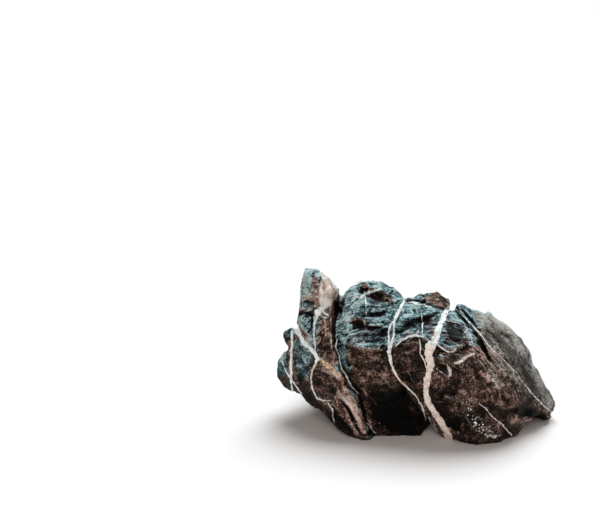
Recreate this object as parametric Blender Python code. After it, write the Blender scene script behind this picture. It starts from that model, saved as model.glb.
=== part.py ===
"""A seiryu aquascape stone: one piece of dark, veined limestone that stands on worn feet.

The stone is built from convex blocks, each given by its corners, which are fused into one skin. The skin is
chipped into facets, cut open along its creases, pitted, and cut off level where it rests. It is a single solid.
Corners are in millimetres, +Z up, with the side that shows most of the stone facing -Y.
"""

import math
from dataclasses import dataclass

import bmesh
import bpy
import numpy as np
from mathutils import Vector, kdtree, noise

MM = 0.001

# Driving dimensions of the whole stone, in millimetres.
LENGTH = 221.5
VOXEL = 1.7
TRIANGLES = 9300
SHORTEST = 0.12

# Facets left by breakage: how far apart they are, how steep, and how much they may add or take away.
COARSE_CHIPS = (24.0, 0.16, 1.7, 11)
FINE_CHIPS = (11.0, 0.12, 0.6, 23)
CHIPPED_FROM = (-116.0, -70.0, -8.0)
CHIPPED_TO = (116.0, 66.0, 130.0)

# The slow rise and fall of the whole skin: how long its waves are and how high.
SWELL_SCALE = 38.0
SWELL = 0.9

# Where the stone touches the ground, seen from above: the middle of each foot and how far it reaches.
FEET = (
    ((-25.0, -34.0), (34.0, 26.0)),
    ((44.0, -35.0), (33.0, 22.0)),
    ((-32.0, 41.0), (28.0, 19.0)),
    ((93.0, 20.0), (11.0, 14.0)),
)
CLEARANCE = 1.2

# The blocks that the stone is made of, each the convex hull of its corners, in millimetres.
BLOCKS = {
    # The central hump: its sloping crown and its upright face.
    "hump": (
        (-57, -13, 102), (-50, -8, 109), (-40, -4, 112), (-30, -2, 109), (-22, -4, 106), (-15, -9, 105),
        (-57, -42, 73), (-48, -53, 72), (-36, -59, 71), (-18, -58, 73), (-12, -56, 72),
        (-51, -53, 45), (-36, -58, 36), (-22, -57, 33), (-10, -55, 38),
        (-40, 30, 96), (-14, 32, 90), (-60, 34, 76), (-8, 50, 62),
        (-56, 48, 30), (-6, 52, 28), (-50, -30, 14), (-4, -30, 14),
    ),
    # The foot of the hump, set back under it.
    "hump_base": (
        (-49, -50, 34), (-24, -51, 28), (-6, -50, 34), (-44, -47, 4), (-26, -48, -2), (-6, -48, -2), (8, -46, -2),
        (-52, 20, 30), (16, 20, 30), (-46, 16, 4), (16, 16, 4),
    ),
    # The slab in front of it on the left, which runs down to the left foot.
    "slab": (
        (-91, -34, 80), (-78, -44, 82), (-66, -41, 80), (-62, -36, 78),
        (-92, -38, 52), (-76, -51, 58), (-62, -48, 62),
        (-92, -28, 26), (-80, -40, 28), (-84, -31, 20), (-60, -58, 42), (-49, -54, 42),
        (-73, -37, 21), (-62, -44, 19), (-53, -50, 13), (-44, -54, 6), (-38, -59, -5), (-30, -57, -5),
        (-46, -61, 22), (-37, -56, 24), (-28, -47, -5),
        (-88, 6, 74), (-60, 0, 74), (-86, 8, 30), (-42, -30, -5), (-56, -30, 14),
    ),
    # The upright finger that rises out of the slab.
    "finger": (
        (-90, -28, 118), (-87, -21, 123), (-79, -20, 123), (-72, -26, 123), (-69, -18, 117),
        (-66, -13, 111), (-61, -12, 103), (-90, -32, 107), (-91, -33, 92), (-90, -34, 80),
        (-74, -38, 112), (-73, -42, 90), (-70, -38, 80), (-63, -26, 88), (-61, -14, 96),
        (-86, -4, 110), (-70, -2, 104), (-88, 0, 78), (-62, 4, 84),
    ),
    # A small knuckle under the finger, on its outer side.
    "knuckle": (
        (-90, -36, 90), (-90, -38, 80), (-82, -43, 91), (-79, -45, 82), (-84, -40, 76), (-84, -22, 84),
    ),
    # The recess between the finger and the hump.
    "neck": (
        (-74, -30, 95), (-73, -38, 78), (-61, -24, 93), (-58, -36, 76), (-54, -6, 94), (-74, 4, 92),
        (-60, 14, 70), (-76, 14, 70), (-66, -44, 60), (-56, -46, 56), (-54, 20, 86),
    ),
    # The knob above the waist of the far left lobe.
    "lobe_top": (
        (-92, -34, 74), (-96, -32, 75), (-102, -27, 75), (-106, -21, 71), (-104, -22, 66), (-99, -27, 61),
        (-91, -38, 64), (-88, -4, 72), (-98, -4, 66), (-90, -4, 58), (-84, -16, 76),
    ),
    # The low lobe at the far left.
    "lobe": (
        (-95, -39, 54), (-91, -38, 66), (-98, -30, 58), (-103, -25, 52), (-107, -22, 46), (-109, -20, 40),
        (-110, -17, 34), (-108, -14, 28), (-103, -18, 25), (-96, -24, 22), (-90, -34, 26),
        (-97, 4, 62), (-100, 6, 34), (-86, 10, 28), (-88, 6, 70),
    ),
    # The chin under the lobe, where the slab starts to hang clear of the ground.
    "chin": (
        (-85, -32, 14), (-77, -35, 13), (-71, -37, 17), (-87, -32, 26), (-72, -42, 28), (-82, -12, 28),
        (-70, -20, 18),
    ),
    # The shoulder between the two broad veins, a wedge that narrows downwards.
    "shoulder": (
        (-17, -16, 101), (-10, -11, 101), (-3, -8, 101), (7, -10, 98), (18, -16, 93),
        (20, -36, 86), (13, -54, 78), (2, -59, 82), (-7, -60, 82), (-18, -60, 75),
        (-15, -58, 56), (0, -55, 36), (12, -55, 42), (20, -50, 20), (24, -46, -2), (18, -43, 2),
        (-10, 30, 84), (20, 30, 80), (14, 10, 0), (0, 20, 20),
    ),
    # The brown knob that sits behind the shoulder's top.
    "knob": (
        (-5, -8, 98), (-1, -4, 102), (7, 1, 103), (13, 3, 106), (20, 4, 102), (25, 2, 96),
        (25, -4, 89), (17, -14, 94), (9, -16, 95), (3, -14, 97), (4, 18, 95), (18, 18, 94), (10, 10, 84),
    ),
    # The hollow between the knob and the right-hand crest.
    "saddle": (
        (14, -16, 92), (26, -14, 87), (31, -8, 88), (31, 4, 85), (22, 6, 86), (14, 10, 88),
        (14, -34, 84), (32, -26, 84), (20, 20, 60), (36, 20, 60), (30, -40, 74),
    ),
    # The right-hand mass: its crest falls to the right.
    "flank": (
        (29, -6, 90), (32, 0, 91), (37, 2, 91), (44, 4, 89), (52, 6, 87), (56, 6, 87), (60, 6, 81),
        (65, 8, 73), (73, 8, 70), (79, 10, 66), (85, 12, 61), (90, 12, 56), (91, 12, 49), (91, 12, 43),
        (30, -12, 91), (48, -28, 80), (60, -38, 65), (72, -37, 52), (80, -32, 41), (87, -27, 31),
        (32, 40, 76), (58, 46, 68), (84, 40, 44), (40, 52, 30), (78, 44, 18), (86, 6, 14), (60, 0, 4),
    ),
    # The bulging front of the right-hand mass, down to the right foot.
    "belly": (
        (16, -38, 84), (26, -20, 89), (30, -14, 90), (12, -55, 76), (18, -61, 66), (36, -62, 65), (54, -57, 57),
        (12, -56, 46), (32, -65, 38), (58, -60, 36), (69, -50, 39), (76, -44, 21), (70, -43, 8),
        (63, -47, -3), (48, -52, -5), (34, -44, -5), (20, -44, -5), (48, -29, 79), (72, -36, 51),
        (24, -20, -5), (62, -24, -5), (79, -34, 1), (84, -31, 7),
    ),
    # The rounded cap that tops the bulge between the broad vein and the cracks.
    "cap": (
        (22, -20, 90), (30, -13, 91), (38, -16, 88), (12, -42, 84), (11, -54, 77), (18, -60, 70), (32, -61, 70),
        (42, -54, 70), (48, -36, 77), (46, -26, 82), (20, 0, 70), (40, 0, 70), (20, -30, 50), (44, -30, 50),
    ),
    # The side that joins the belly to the tail under the crack.
    "side": (
        (60, -38, 64), (72, -38, 51), (80, -33, 41), (87, -27, 31), (95, -19, 20), (102, -12, 12),
        (80, -33, 11), (84, -22, 16), (87, -12, 18), (91, -8, 16), (75, -44, 22), (69, -50, 38),
        (60, 0, 60), (60, 0, 8), (88, 4, 30), (96, 2, 14),
    ),
    # The low tail at the far right, held off the ground at its end.
    "tail": (
        (91, 12, 46), (92, 12, 38), (98, 11, 34), (103, 10, 27), (106, 8, 20), (109, 6, 17), (111, 4, 13),
        (109, 2, 8), (107, 0, 6), (104, -4, 4), (98, -4, 5), (91, -7, 15), (88, -11, 18),
        (87, -27, 31), (102, -12, 12), (74, -34, 46), (78, 40, 36), (100, 30, 22), (97, 26, -5), (80, 30, -5),
        (74, 0, 14),
    ),
    # The back of the hump, a lower step that carries the third foot.
    "back_step": (
        (-74, 12, 70), (-80, 34, 48), (-70, 50, 20), (-58, 57, 34), (-20, 60, 42), (8, 58, 46),
        (20, 50, 20), (-22, 54, -5), (-50, 44, -5), (-46, 24, -5), (-12, 28, -5), (4, 44, 6),
        (-10, 40, 68), (14, 44, 60), (-50, 36, 72),
    ),
    # The middle of the stone behind its hump and its crest.
    "spine": (
        (-56, 22, 84), (-30, 32, 88), (0, 32, 84), (30, 38, 77), (58, 42, 64), (78, 34, 44),
        (-64, 44, 50), (-20, 56, 50), (20, 56, 52), (54, 52, 40), (-50, 30, 8), (0, 30, 6), (60, 30, 8),
        (-50, -20, 60), (0, -20, 70), (60, -10, 50),
    ),
    # The left-hand side behind the slab and the lobe.
    "left_side": (
        (-90, 0, 68), (-86, 10, 70), (-72, 28, 72), (-60, 20, 82), (-92, 2, 34), (-80, 30, 24),
        (-70, 42, 28), (-56, 10, 82), (-60, -10, 10), (-84, -10, 24), (-50, 30, 8),
    ),
    # The back of the right-hand mass, broken off more steeply.
    "back_face": (
        (12, 54, 52), (44, 56, 46), (74, 50, 34), (84, 42, 20), (72, 44, 6), (40, 50, 8), (16, 46, 10),
        (20, 30, 78), (50, 44, 70), (20, 20, 12), (70, 20, 8),
    ),
}


@dataclass(frozen=True)
class Drawing:
    """A sheet through the middle of the stone that its features are drawn on, as they are seen from one point.

    Args:
        eye: The point the drawing is made from, in millimetres.
        turn: How far the sheet is turned about +Z from facing the eye along +Y, in degrees.
        dip: How far the line of sight dips, in degrees.
        distance: How far the sheet is from the eye, in millimetres.
        centre: Where the sheet's own zero is, across and up, in millimetres.
    """

    eye: tuple
    turn: float
    dip: float
    distance: float
    centre: tuple

    def axes(self):
        """The sheet's directions across, up and away, as rows."""
        turn, dip = math.radians(self.turn), math.radians(self.dip)
        across = np.array((math.cos(turn), math.sin(turn), 0.0))
        away = np.array((-math.sin(turn) * math.cos(dip), math.cos(turn) * math.cos(dip), -math.sin(dip)))
        return across, np.cross(across, away), away

    def place(self, points):
        """Where points of the stone are on the sheet, across and up from its zero, in millimetres."""
        across, up, away = self.axes()
        sight = points - np.array(self.eye)
        depth = sight @ away
        flat = np.stack((sight @ across, sight @ up), axis=1) * (self.distance / depth)[:, None]
        return flat - np.array(self.centre)

    def facing(self, points, normals):
        """How much the skin faces the eye: 0 when it is turned away, 1 when it is turned well towards it."""
        sight = np.array(self.eye) - points
        sight /= np.linalg.norm(sight, axis=1)[:, None]
        return smooth_step(0.0, 0.3, np.einsum("ij,ij->i", sight, normals))


FRONT = Drawing(eye=(0.0, -646.7, 258.6), turn=8.28, dip=11.64, distance=648.4, centre=(90.3, -74.3))
BACK = Drawing(eye=(0.0, 700.0, 200.0), turn=180.0, dip=12.0, distance=700.0, centre=(0.0, -55.0))


@dataclass(frozen=True)
class Crease:
    """A cut in the skin along a path on a drawing, in millimetres."""

    path: tuple
    half_width: float
    depth: float
    sheet: Drawing = FRONT


@dataclass(frozen=True)
class Pit:
    """An oval hollow at a place on a drawing, in millimetres, its long axis turned by some degrees."""

    centre: tuple
    radii: tuple
    turn: float
    depth: float
    sheet: Drawing = FRONT


@dataclass(frozen=True)
class Ledge:
    """A path on a drawing under which the skin is set back; the set-back dies out over its reach."""

    path: tuple
    reach: float
    depth: float
    sheet: Drawing = FRONT


CREASES = (
    # Between the finger and the hump, then down between the slab and the hump.
    Crease(((-59, 49), (-61, 42), (-62, 33), (-64, 21)), 5.0, 7.0),
    Crease(((-62, 33), (-64, 21), (-63, 9), (-60, 1), (-58, -9), (-53, -17), (-49, -24)), 3.5, 3.5),
    Crease(((-49, -24), (-44, -30), (-42, -37), (-39, -49), (-34, -60)), 4.5, 6.0),
    # Round the knuckle under the finger.
    Crease(((-93, 33), (-87, 34), (-82, 34), (-80, 31), (-81, 25), (-82, 21)), 2.0, 2.6),
    # Between the knob and the shoulder.
    Crease(((-7, 44), (3, 44), (11, 41), (19, 38), (25, 37)), 2.4, 3.0),
    # The two cracks side by side at the top of the right-hand mass, and the longer one below them.
    Crease(((31, 37), (36, 31), (41, 25)), 1.8, 4.0),
    Crease(((35, 38), (40, 32), (47, 25)), 1.6, 3.2),
    Crease(((42, 25), (48, 17)), 1.8, 3.4),
    Crease(((49, 13), (54, 6), (59, -3)), 2.4, 4.4),
    # The fold between the lobe and the slab.
    Crease(((-96, 18), (-97, 5), (-97, -6), (-96, -18), (-96, -30)), 2.2, 1.8),
    # The splits in the left foot.
    Crease(((-56, -36), (-51, -43), (-47, -50)), 2.0, 2.6),
    Crease(((-51, -46), (-47, -53), (-43, -60)), 1.8, 2.4),
    # Joints that cross the back.
    Crease(((-62, 36), (-52, 20), (-46, 2), (-34, -20), (-30, -44)), 3.0, 4.4, BACK),
    Crease(((8, 44), (14, 28), (10, 12), (20, -6), (18, -30)), 3.4, 4.8, BACK),
    Crease(((14, 22), (34, 26), (52, 16)), 2.6, 3.4, BACK),
    Crease(((-44, 0), (-66, -8), (-84, -4)), 2.4, 3.2, BACK),
    Crease(((64, 30), (70, 8), (64, -16)), 2.6, 3.2, BACK),
)

PITS = (
    # The hollows between the folds of the crown.
    Pit((-27, 46), (8.0, 4.0), -12.0, 3.2),
    Pit((-43, 51), (4.0, 2.4), 40.0, 1.8),
    Pit((-45, 23), (5.5, 6.5), 0.0, 2.8),
    Pit((-30, 33), (6.5, 2.4), 10.0, 2.4),
    Pit((-33, 22), (7.0, 2.6), 12.0, 2.4),
    Pit((-24, 19), (7.0, 2.8), 35.0, 2.8),
    Pit((-36, 56), (5.0, 2.4), 30.0, 1.4),
    # The scooped edge of the finger.
    Pit((-83, 61), (6.0, 2.6), 8.0, 1.5),
    Pit((-84, 43), (5.0, 3.6), 0.0, 1.9),
    Pit((-77, 50), (3.4, 4.4), 0.0, 1.3),
    # The hollows above the lobe's outer corner and low on the right-hand mass.
    Pit((-101, 13), (3.0, 2.4), 0.0, 1.6),
    Pit((-103, 4), (2.4, 3.4), 0.0, 1.4),
    Pit((60, -25), (11.0, 7.0), -30.0, 2.6),
    Pit((86, -44), (9.0, 5.0), 30.0, 3.0),
    Pit((52, -44), (7.0, 4.0), -10.0, 1.4),
    # Hollows in the back.
    Pit((-30, 30), (12.0, 7.0), 20.0, 3.6, BACK),
    Pit((34, 4), (13.0, 8.0), -25.0, 3.8, BACK),
    Pit((-14, -6), (10.0, 9.0), 0.0, 3.0, BACK),
    Pit((78, -10), (9.0, 7.0), 10.0, 3.0, BACK),
    Pit((-70, -26), (10.0, 6.0), 0.0, 2.6, BACK),
)

LEDGES = (
    # The lip across the shoulder and the rim below it.
    Ledge(((-14, 24), (-11, 25), (-6, 28), (0, 30), (6, 31), (12, 32), (20, 33)), 9.0, 3.4),
    Ledge(((-18, 8), (-16, 9), (-12, 12), (-7, 15), (-2, 16), (4, 16), (10, 11)), 10.0, 2.2),
    # The edge where the crown turns down into the upright face.
    Ledge(((-58, 12), (-50, 9), (-39, 5), (-28, 5), (-20, 8)), 9.0, 1.8),
    # The rim of the rounded cap on the right-hand mass.
    Ledge(((17, 9), (25, 6), (30, 5), (35, 7), (39, 10)), 9.0, 2.4),
    # Steps low on the right-hand mass.
    Ledge(((46, -4), (54, -14), (62, -22), (72, -30)), 9.0, 2.0),
    # Ledges on the back.
    Ledge(((-76, 26), (-50, 14), (-20, 18), (4, 10)), 12.0, 3.2, BACK),
    Ledge(((4, -8), (30, -14), (58, -6), (80, -14)), 12.0, 3.4, BACK),
    Ledge(((-60, -18), (-40, -26), (-12, -22)), 10.0, 2.6, BACK),
)


def smooth_step(low, high, values):
    """Rises from 0 to 1 between two values."""
    t = np.clip((values - low) / (high - low), 0.0, 1.0)
    return t * t * (3.0 - 2.0 * t)


def new_object(name, mesh):
    """Adds an object to the scene."""
    obj = bpy.data.objects.new(name, mesh)
    bpy.context.scene.collection.objects.link(obj)
    return obj


def with_modifier(obj, kind, **settings):
    """The mesh that a modifier makes of an object, which is removed."""
    modifier = obj.modifiers.new(kind.lower(), kind)
    for name, value in settings.items():
        setattr(modifier, name, value)
    graph = bpy.context.evaluated_depsgraph_get()
    mesh = bpy.data.meshes.new_from_object(obj.evaluated_get(graph))
    bpy.data.objects.remove(obj)
    return mesh


def fused_blocks():
    """One closed skin round all the blocks."""
    bm = bmesh.new()
    for corners in BLOCKS.values():
        verts = [bm.verts.new(Vector(c) * MM) for c in corners]
        hull = bmesh.ops.convex_hull(bm, input=verts)
        inside = {g for g in hull["geom_interior"] if isinstance(g, bmesh.types.BMVert)}
        bmesh.ops.delete(bm, geom=list(inside), context="VERTS")
    bmesh.ops.recalc_face_normals(bm, faces=bm.faces)
    mesh = bpy.data.meshes.new("blocks")
    bm.to_mesh(mesh)
    bm.free()
    skin = with_modifier(new_object("blocks", mesh), "REMESH", mode="VOXEL", voxel_size=VOXEL * MM)
    return with_modifier(new_object("skin", skin), "SMOOTH", factor=0.5, iterations=4)


def read(mesh):
    """The places of a mesh's corners in millimetres, and the directions its skin faces there."""
    count = len(mesh.vertices)
    places = np.empty(count * 3)
    mesh.vertices.foreach_get("co", places)
    normals = np.empty(count * 3)
    mesh.vertex_normals.foreach_get("vector", normals)
    return places.reshape(-1, 3) / MM, normals.reshape(-1, 3)


def write(mesh, places):
    """Moves a mesh's corners to places in millimetres."""
    mesh.vertices.foreach_set("co", (places * MM).ravel())
    mesh.update()


def chips(places, spacing, slope, limit, seed):
    """Breaks the skin into facets: every cell of a random set of points gets a tilt of its own."""
    rng = np.random.default_rng(seed)
    low, high = np.array(CHIPPED_FROM), np.array(CHIPPED_TO)
    count = int(np.prod((high - low) / spacing))
    cells = rng.uniform(low, high, (count, 3))
    tilts = rng.normal(size=(count, 3))
    tilts /= np.linalg.norm(tilts, axis=1)[:, None]
    tree = kdtree.KDTree(count)
    for index, cell in enumerate(cells):
        tree.insert(cell, index)
    tree.balance()
    nearest = np.array([tree.find(place)[1] for place in places])
    height = slope * np.einsum("ij,ij->i", places - cells[nearest], tilts[nearest])
    return np.clip(height, -limit, limit)


def swell(places, scale, seed):
    """Slow random rise and fall over the whole skin, between about -1 and 1."""
    offset = Vector((seed, seed * 2.0, seed * 3.0))
    return np.array([noise.fractal(Vector(place) / scale + offset, 0.9, 2.0, 3) for place in places])


def along_path(flat, path):
    """How far places on a drawing are from a path, which side of it, and whether they are abreast of it."""
    path = np.array(path, dtype=float)
    best = np.full(len(flat), np.inf)
    side = np.zeros(len(flat))
    for start, end in zip(path[:-1], path[1:]):
        run = end - start
        t = np.clip(((flat - start) @ run) / (run @ run), 0.0, 1.0)
        off = flat - (start + t[:, None] * run)
        distance = np.linalg.norm(off, axis=1)
        closer = distance < best
        best[closer] = distance[closer]
        side[closer] = (run[0] * off[closer, 1] - run[1] * off[closer, 0])
    start_run, end_run = path[1] - path[0], path[-1] - path[-2]
    before = (path[0] - flat) @ start_run / np.linalg.norm(start_run)
    after = (flat - path[-1]) @ end_run / np.linalg.norm(end_run)
    return best, np.sign(side), np.maximum(before, after)


def carved(places, normals):
    """How deep the skin is taken in by the creases, pits and ledges."""
    depth = np.zeros(len(places))
    flats = {sheet: sheet.place(places) for sheet in (FRONT, BACK)}
    shows = {sheet: sheet.facing(places, normals) for sheet in (FRONT, BACK)}
    for crease in CREASES:
        distance, _, _ = along_path(flats[crease.sheet], crease.path)
        cut = 1.0 - smooth_step(0.0, crease.half_width, distance)
        depth = np.maximum(depth, cut * crease.depth * shows[crease.sheet])
    for pit in PITS:
        turn = math.radians(pit.turn)
        off = flats[pit.sheet] - np.array(pit.centre)
        across = (off[:, 0] * math.cos(turn) + off[:, 1] * math.sin(turn)) / pit.radii[0]
        up = (-off[:, 0] * math.sin(turn) + off[:, 1] * math.cos(turn)) / pit.radii[1]
        bowl = 1.0 - smooth_step(0.35, 1.15, np.hypot(across, up))
        depth = np.maximum(depth, bowl * pit.depth * shows[pit.sheet])
    for ledge in LEDGES:
        distance, side, beyond = along_path(flats[ledge.sheet], ledge.path)
        below = (side < 0) * smooth_step(0.0, 1.6, distance) * (1.0 - smooth_step(2.0, ledge.reach, distance))
        below *= 1.0 - smooth_step(0.0, 4.0, beyond)
        depth = np.maximum(depth, below * ledge.depth * shows[ledge.sheet])
    return depth


def sculpted(mesh):
    """Roughens and carves the fused skin."""
    places, normals = read(mesh)
    height = SWELL * swell(places, SWELL_SCALE, 3.0)
    height += chips(places, *COARSE_CHIPS)
    height += chips(places, *FINE_CHIPS)
    write(mesh, places + normals * height[:, None])
    places, normals = read(mesh)
    write(mesh, places - normals * carved(places, normals)[:, None])
    return mesh


def keep_largest_piece(bm):
    """Drops the crumbs that the cut at the ground leaves loose."""
    left = set(bm.faces)
    pieces = []
    while left:
        piece, edge_of_piece = set(), [left.pop()]
        while edge_of_piece:
            face = edge_of_piece.pop()
            piece.add(face)
            linked = {f for edge in face.edges for f in edge.link_faces} & left
            left -= linked
            edge_of_piece.extend(linked)
        pieces.append(piece)
    pieces.sort(key=len)
    crumbs = [face for piece in pieces[:-1] for face in piece]
    bmesh.ops.delete(bm, geom=crumbs, context="FACES")


def with_feet(mesh):
    """Cuts the stone off level at the ground, so that it stands on flat feet and is clear of it elsewhere."""
    places, _ = read(mesh)
    on_foot = np.zeros(len(places), dtype=bool)
    for middle, reach in FEET:
        on_foot |= np.linalg.norm((places[:, :2] - middle) / reach, axis=1) < 1.0
    places[:, 2] = np.where(on_foot, places[:, 2], np.maximum(places[:, 2], CLEARANCE))
    write(mesh, places)
    bm = bmesh.new()
    bm.from_mesh(mesh)
    geometry = bm.verts[:] + bm.edges[:] + bm.faces[:]
    cut = bmesh.ops.bisect_plane(
        bm, geom=geometry, dist=1e-7, plane_co=(0, 0, 0), plane_no=(0, 0, -1), clear_outer=True
    )
    rim = [g for g in cut["geom_cut"] if isinstance(g, bmesh.types.BMEdge)]
    bmesh.ops.holes_fill(bm, edges=rim, sides=0)
    bmesh.ops.triangulate(bm, faces=[f for f in bm.faces if len(f.verts) > 3])
    keep_largest_piece(bm)
    bmesh.ops.remove_doubles(bm, verts=bm.verts, dist=SHORTEST * MM)
    bmesh.ops.dissolve_degenerate(bm, edges=bm.edges, dist=SHORTEST * MM)
    bmesh.ops.triangulate(bm, faces=[f for f in bm.faces if len(f.verts) > 3])
    bmesh.ops.recalc_face_normals(bm, faces=bm.faces)
    bm.to_mesh(mesh)
    bm.free()
    return mesh


def limestone():
    """The stone's material."""
    material = bpy.data.materials.new("limestone")
    material.use_nodes = True
    surface = material.node_tree.nodes["Principled BSDF"]
    surface.inputs["Base Color"].default_value = (0.045, 0.05, 0.05, 1.0)
    surface.inputs["Roughness"].default_value = 0.7
    return material


def main():
    """Builds the stone."""
    for obj in list(bpy.data.objects):
        bpy.data.objects.remove(obj)
    skin = sculpted(fused_blocks())
    full = sum(len(p.vertices) - 2 for p in skin.polygons)
    coarse = with_modifier(new_object("fine", skin), "DECIMATE", ratio=TRIANGLES / full)
    mesh = with_feet(coarse)
    places, _ = read(mesh)
    low, high = places.min(axis=0), places.max(axis=0)
    scale = LENGTH / (high[0] - low[0])
    centre = np.array(((low[0] + high[0]) / 2, (low[1] + high[1]) / 2, low[2]))
    write(mesh, (places - centre) * scale)
    mesh.name = "stone"
    mesh.materials.clear()
    mesh.materials.append(limestone())
    print("stone: before centring", low.round(2), high.round(2), "scale", round(scale, 4),
          "triangles", sum(len(p.vertices) - 2 for p in mesh.polygons))
    return new_object("stone", mesh)


main()
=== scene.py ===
"""The looks of a seiryu stone: fine relief, weathering and calcite veins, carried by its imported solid.

Lengths are in millimetres and are turned to metres where they reach Blender. What is drawn on the stone is
drawn on a sheet that stands across the line of sight from one point. It runs straight back through the stone
from there, so a vein comes out again on the far side, as the sheet of calcite that it is.
"""

import logging
import math
from dataclasses import dataclass, fields
from enum import Enum

import bmesh
import bpy
import numpy as np
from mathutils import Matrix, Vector, noise


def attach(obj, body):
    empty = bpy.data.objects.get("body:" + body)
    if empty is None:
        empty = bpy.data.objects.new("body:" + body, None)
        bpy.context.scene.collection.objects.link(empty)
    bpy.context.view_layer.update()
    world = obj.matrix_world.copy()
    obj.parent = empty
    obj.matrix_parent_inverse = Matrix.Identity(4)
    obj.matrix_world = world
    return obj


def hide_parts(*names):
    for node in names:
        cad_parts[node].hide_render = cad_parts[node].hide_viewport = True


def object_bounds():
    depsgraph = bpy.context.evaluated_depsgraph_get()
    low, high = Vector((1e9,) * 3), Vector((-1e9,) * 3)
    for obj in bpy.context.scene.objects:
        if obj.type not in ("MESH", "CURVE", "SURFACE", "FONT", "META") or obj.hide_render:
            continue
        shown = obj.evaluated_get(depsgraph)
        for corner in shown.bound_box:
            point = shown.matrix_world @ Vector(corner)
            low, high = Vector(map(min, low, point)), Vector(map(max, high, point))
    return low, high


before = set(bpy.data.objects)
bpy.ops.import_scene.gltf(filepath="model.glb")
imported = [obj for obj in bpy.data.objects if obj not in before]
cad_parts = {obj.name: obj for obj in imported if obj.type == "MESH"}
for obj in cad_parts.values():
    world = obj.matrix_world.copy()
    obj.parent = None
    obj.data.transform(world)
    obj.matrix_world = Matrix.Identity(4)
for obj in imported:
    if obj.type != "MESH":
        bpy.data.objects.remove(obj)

CAD_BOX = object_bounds()
LOG = logging.getLogger("seiryu")
MM = 0.001
FAR = 1000.0
NODE = "stone"
SLOT = "limestone"
MATH = "ShaderNodeMath"
VECTOR = "ShaderNodeVectorMath"
NOISE = "ShaderNodeTexNoise"
RANGE = "ShaderNodeMapRange"
MIX = "ShaderNodeMix"

Array = np.ndarray
Path = tuple[tuple[float, float, float], ...]
Span = tuple[float, float]
Patches = tuple[float, float, float]
Mesh = bpy.types.Mesh
Node = bpy.types.Node
Object = bpy.types.Object
Socket = bpy.types.NodeSocket


class Tint(Enum):
    """What the skin is stained or encrusted with in places, and where light and shade are painted on it; the
    value is the mesh attribute that holds it.
    """

    CREAM = "cream"
    OCHRE = "ochre"
    # Pale crusts, and painted highlights on some rims.
    CRUST_AND_HIGHLIGHT = "crust_and_highlight"
    # Mostly painted shade: darker in creases, recesses, hollows and under lips.
    DARK = "dark"
    TEAL = "teal"
    BROWN = "brown"
    PINK = "pink"
    GREY = "grey"
    WARM = "warm"
    SPECKS = "specks"
    # Painted light: the skin is made paler where light falls on it.
    PAINTED_LIGHT = "worn"


def smooth_step(low: float, high: float, values: Array) -> Array:
    """Rises from 0 to 1 between two values."""
    t = np.clip((values - low) / (high - low), 0.0, 1.0)
    return t * t * (3.0 - 2.0 * t)


def linear(code: str) -> tuple[float, float, float, float]:
    """Turns an sRGB hex colour into a linear one.

    Args:
        code: Six hex digits after a hash.

    Returns:
        The linear red, green, blue and an alpha of 1.
    """
    channels = [int(code[i : i + 2], 16) / 255.0 for i in (1, 3, 5)]
    low = [c / 12.92 if c <= 0.04045 else ((c + 0.055) / 1.055) ** 2.4 for c in channels]
    return low[0], low[1], low[2], 1.0


def new_object(name: str, data: bpy.types.ID) -> Object:
    """Adds an object to the scene, at the origin.

    Args:
        name: Its name.
        data: Its mesh, light or camera.

    Returns:
        The object.
    """
    obj = bpy.data.objects.new(name, data)
    bpy.context.scene.collection.objects.link(obj)
    return obj


def baked(obj: Object) -> Mesh:
    """Turns an object with modifiers into a plain mesh.

    Args:
        obj: The object; it is removed.

    Returns:
        The mesh.
    """
    graph = bpy.context.evaluated_depsgraph_get()
    mesh = bpy.data.meshes.new_from_object(obj.evaluated_get(graph))
    bpy.data.objects.remove(obj)
    return mesh


class Nodes:
    """A node tree that is being built."""

    def __init__(self, tree: bpy.types.NodeTree) -> None:
        """Takes the tree that gets the nodes."""
        self.tree = tree

    def add(self, kind: str, inputs: dict | None = None, **settings: object) -> Node:
        """Adds a node.

        Args:
            kind: The node's type.
            inputs: Its inputs by name or place: a value, a socket, or a node whose shown output is meant.
            settings: Its other properties.

        Returns:
            The new node.
        """
        node = self.tree.nodes.new(kind)
        for name, value in settings.items():
            setattr(node, name, value)
        for key, value in (inputs or {}).items():
            named = [s for s in node.inputs if s.enabled and key in (s.name, s.identifier)]
            socket = node.inputs[key] if isinstance(key, int) else named[0]
            if isinstance(value, Node):
                value = next(s for s in value.outputs if s.enabled)
            if isinstance(value, Socket):
                self.tree.links.new(value, socket)
            else:
                socket.default_value = value
        return node

    def sum(self, total: Node | Socket | float, *terms: tuple[Node | Socket, Node | Socket | float]) -> Node:
        """Adds to a value so much each of some others.

        Args:
            total: The value that the others are added to.
            terms: The others, each with its share.

        Returns:
            The node that gives the sum.
        """
        for term, share in terms:
            total = self.add(MATH, {0: term, 1: share, 2: total}, operation="MULTIPLY_ADD")
        return total


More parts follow.
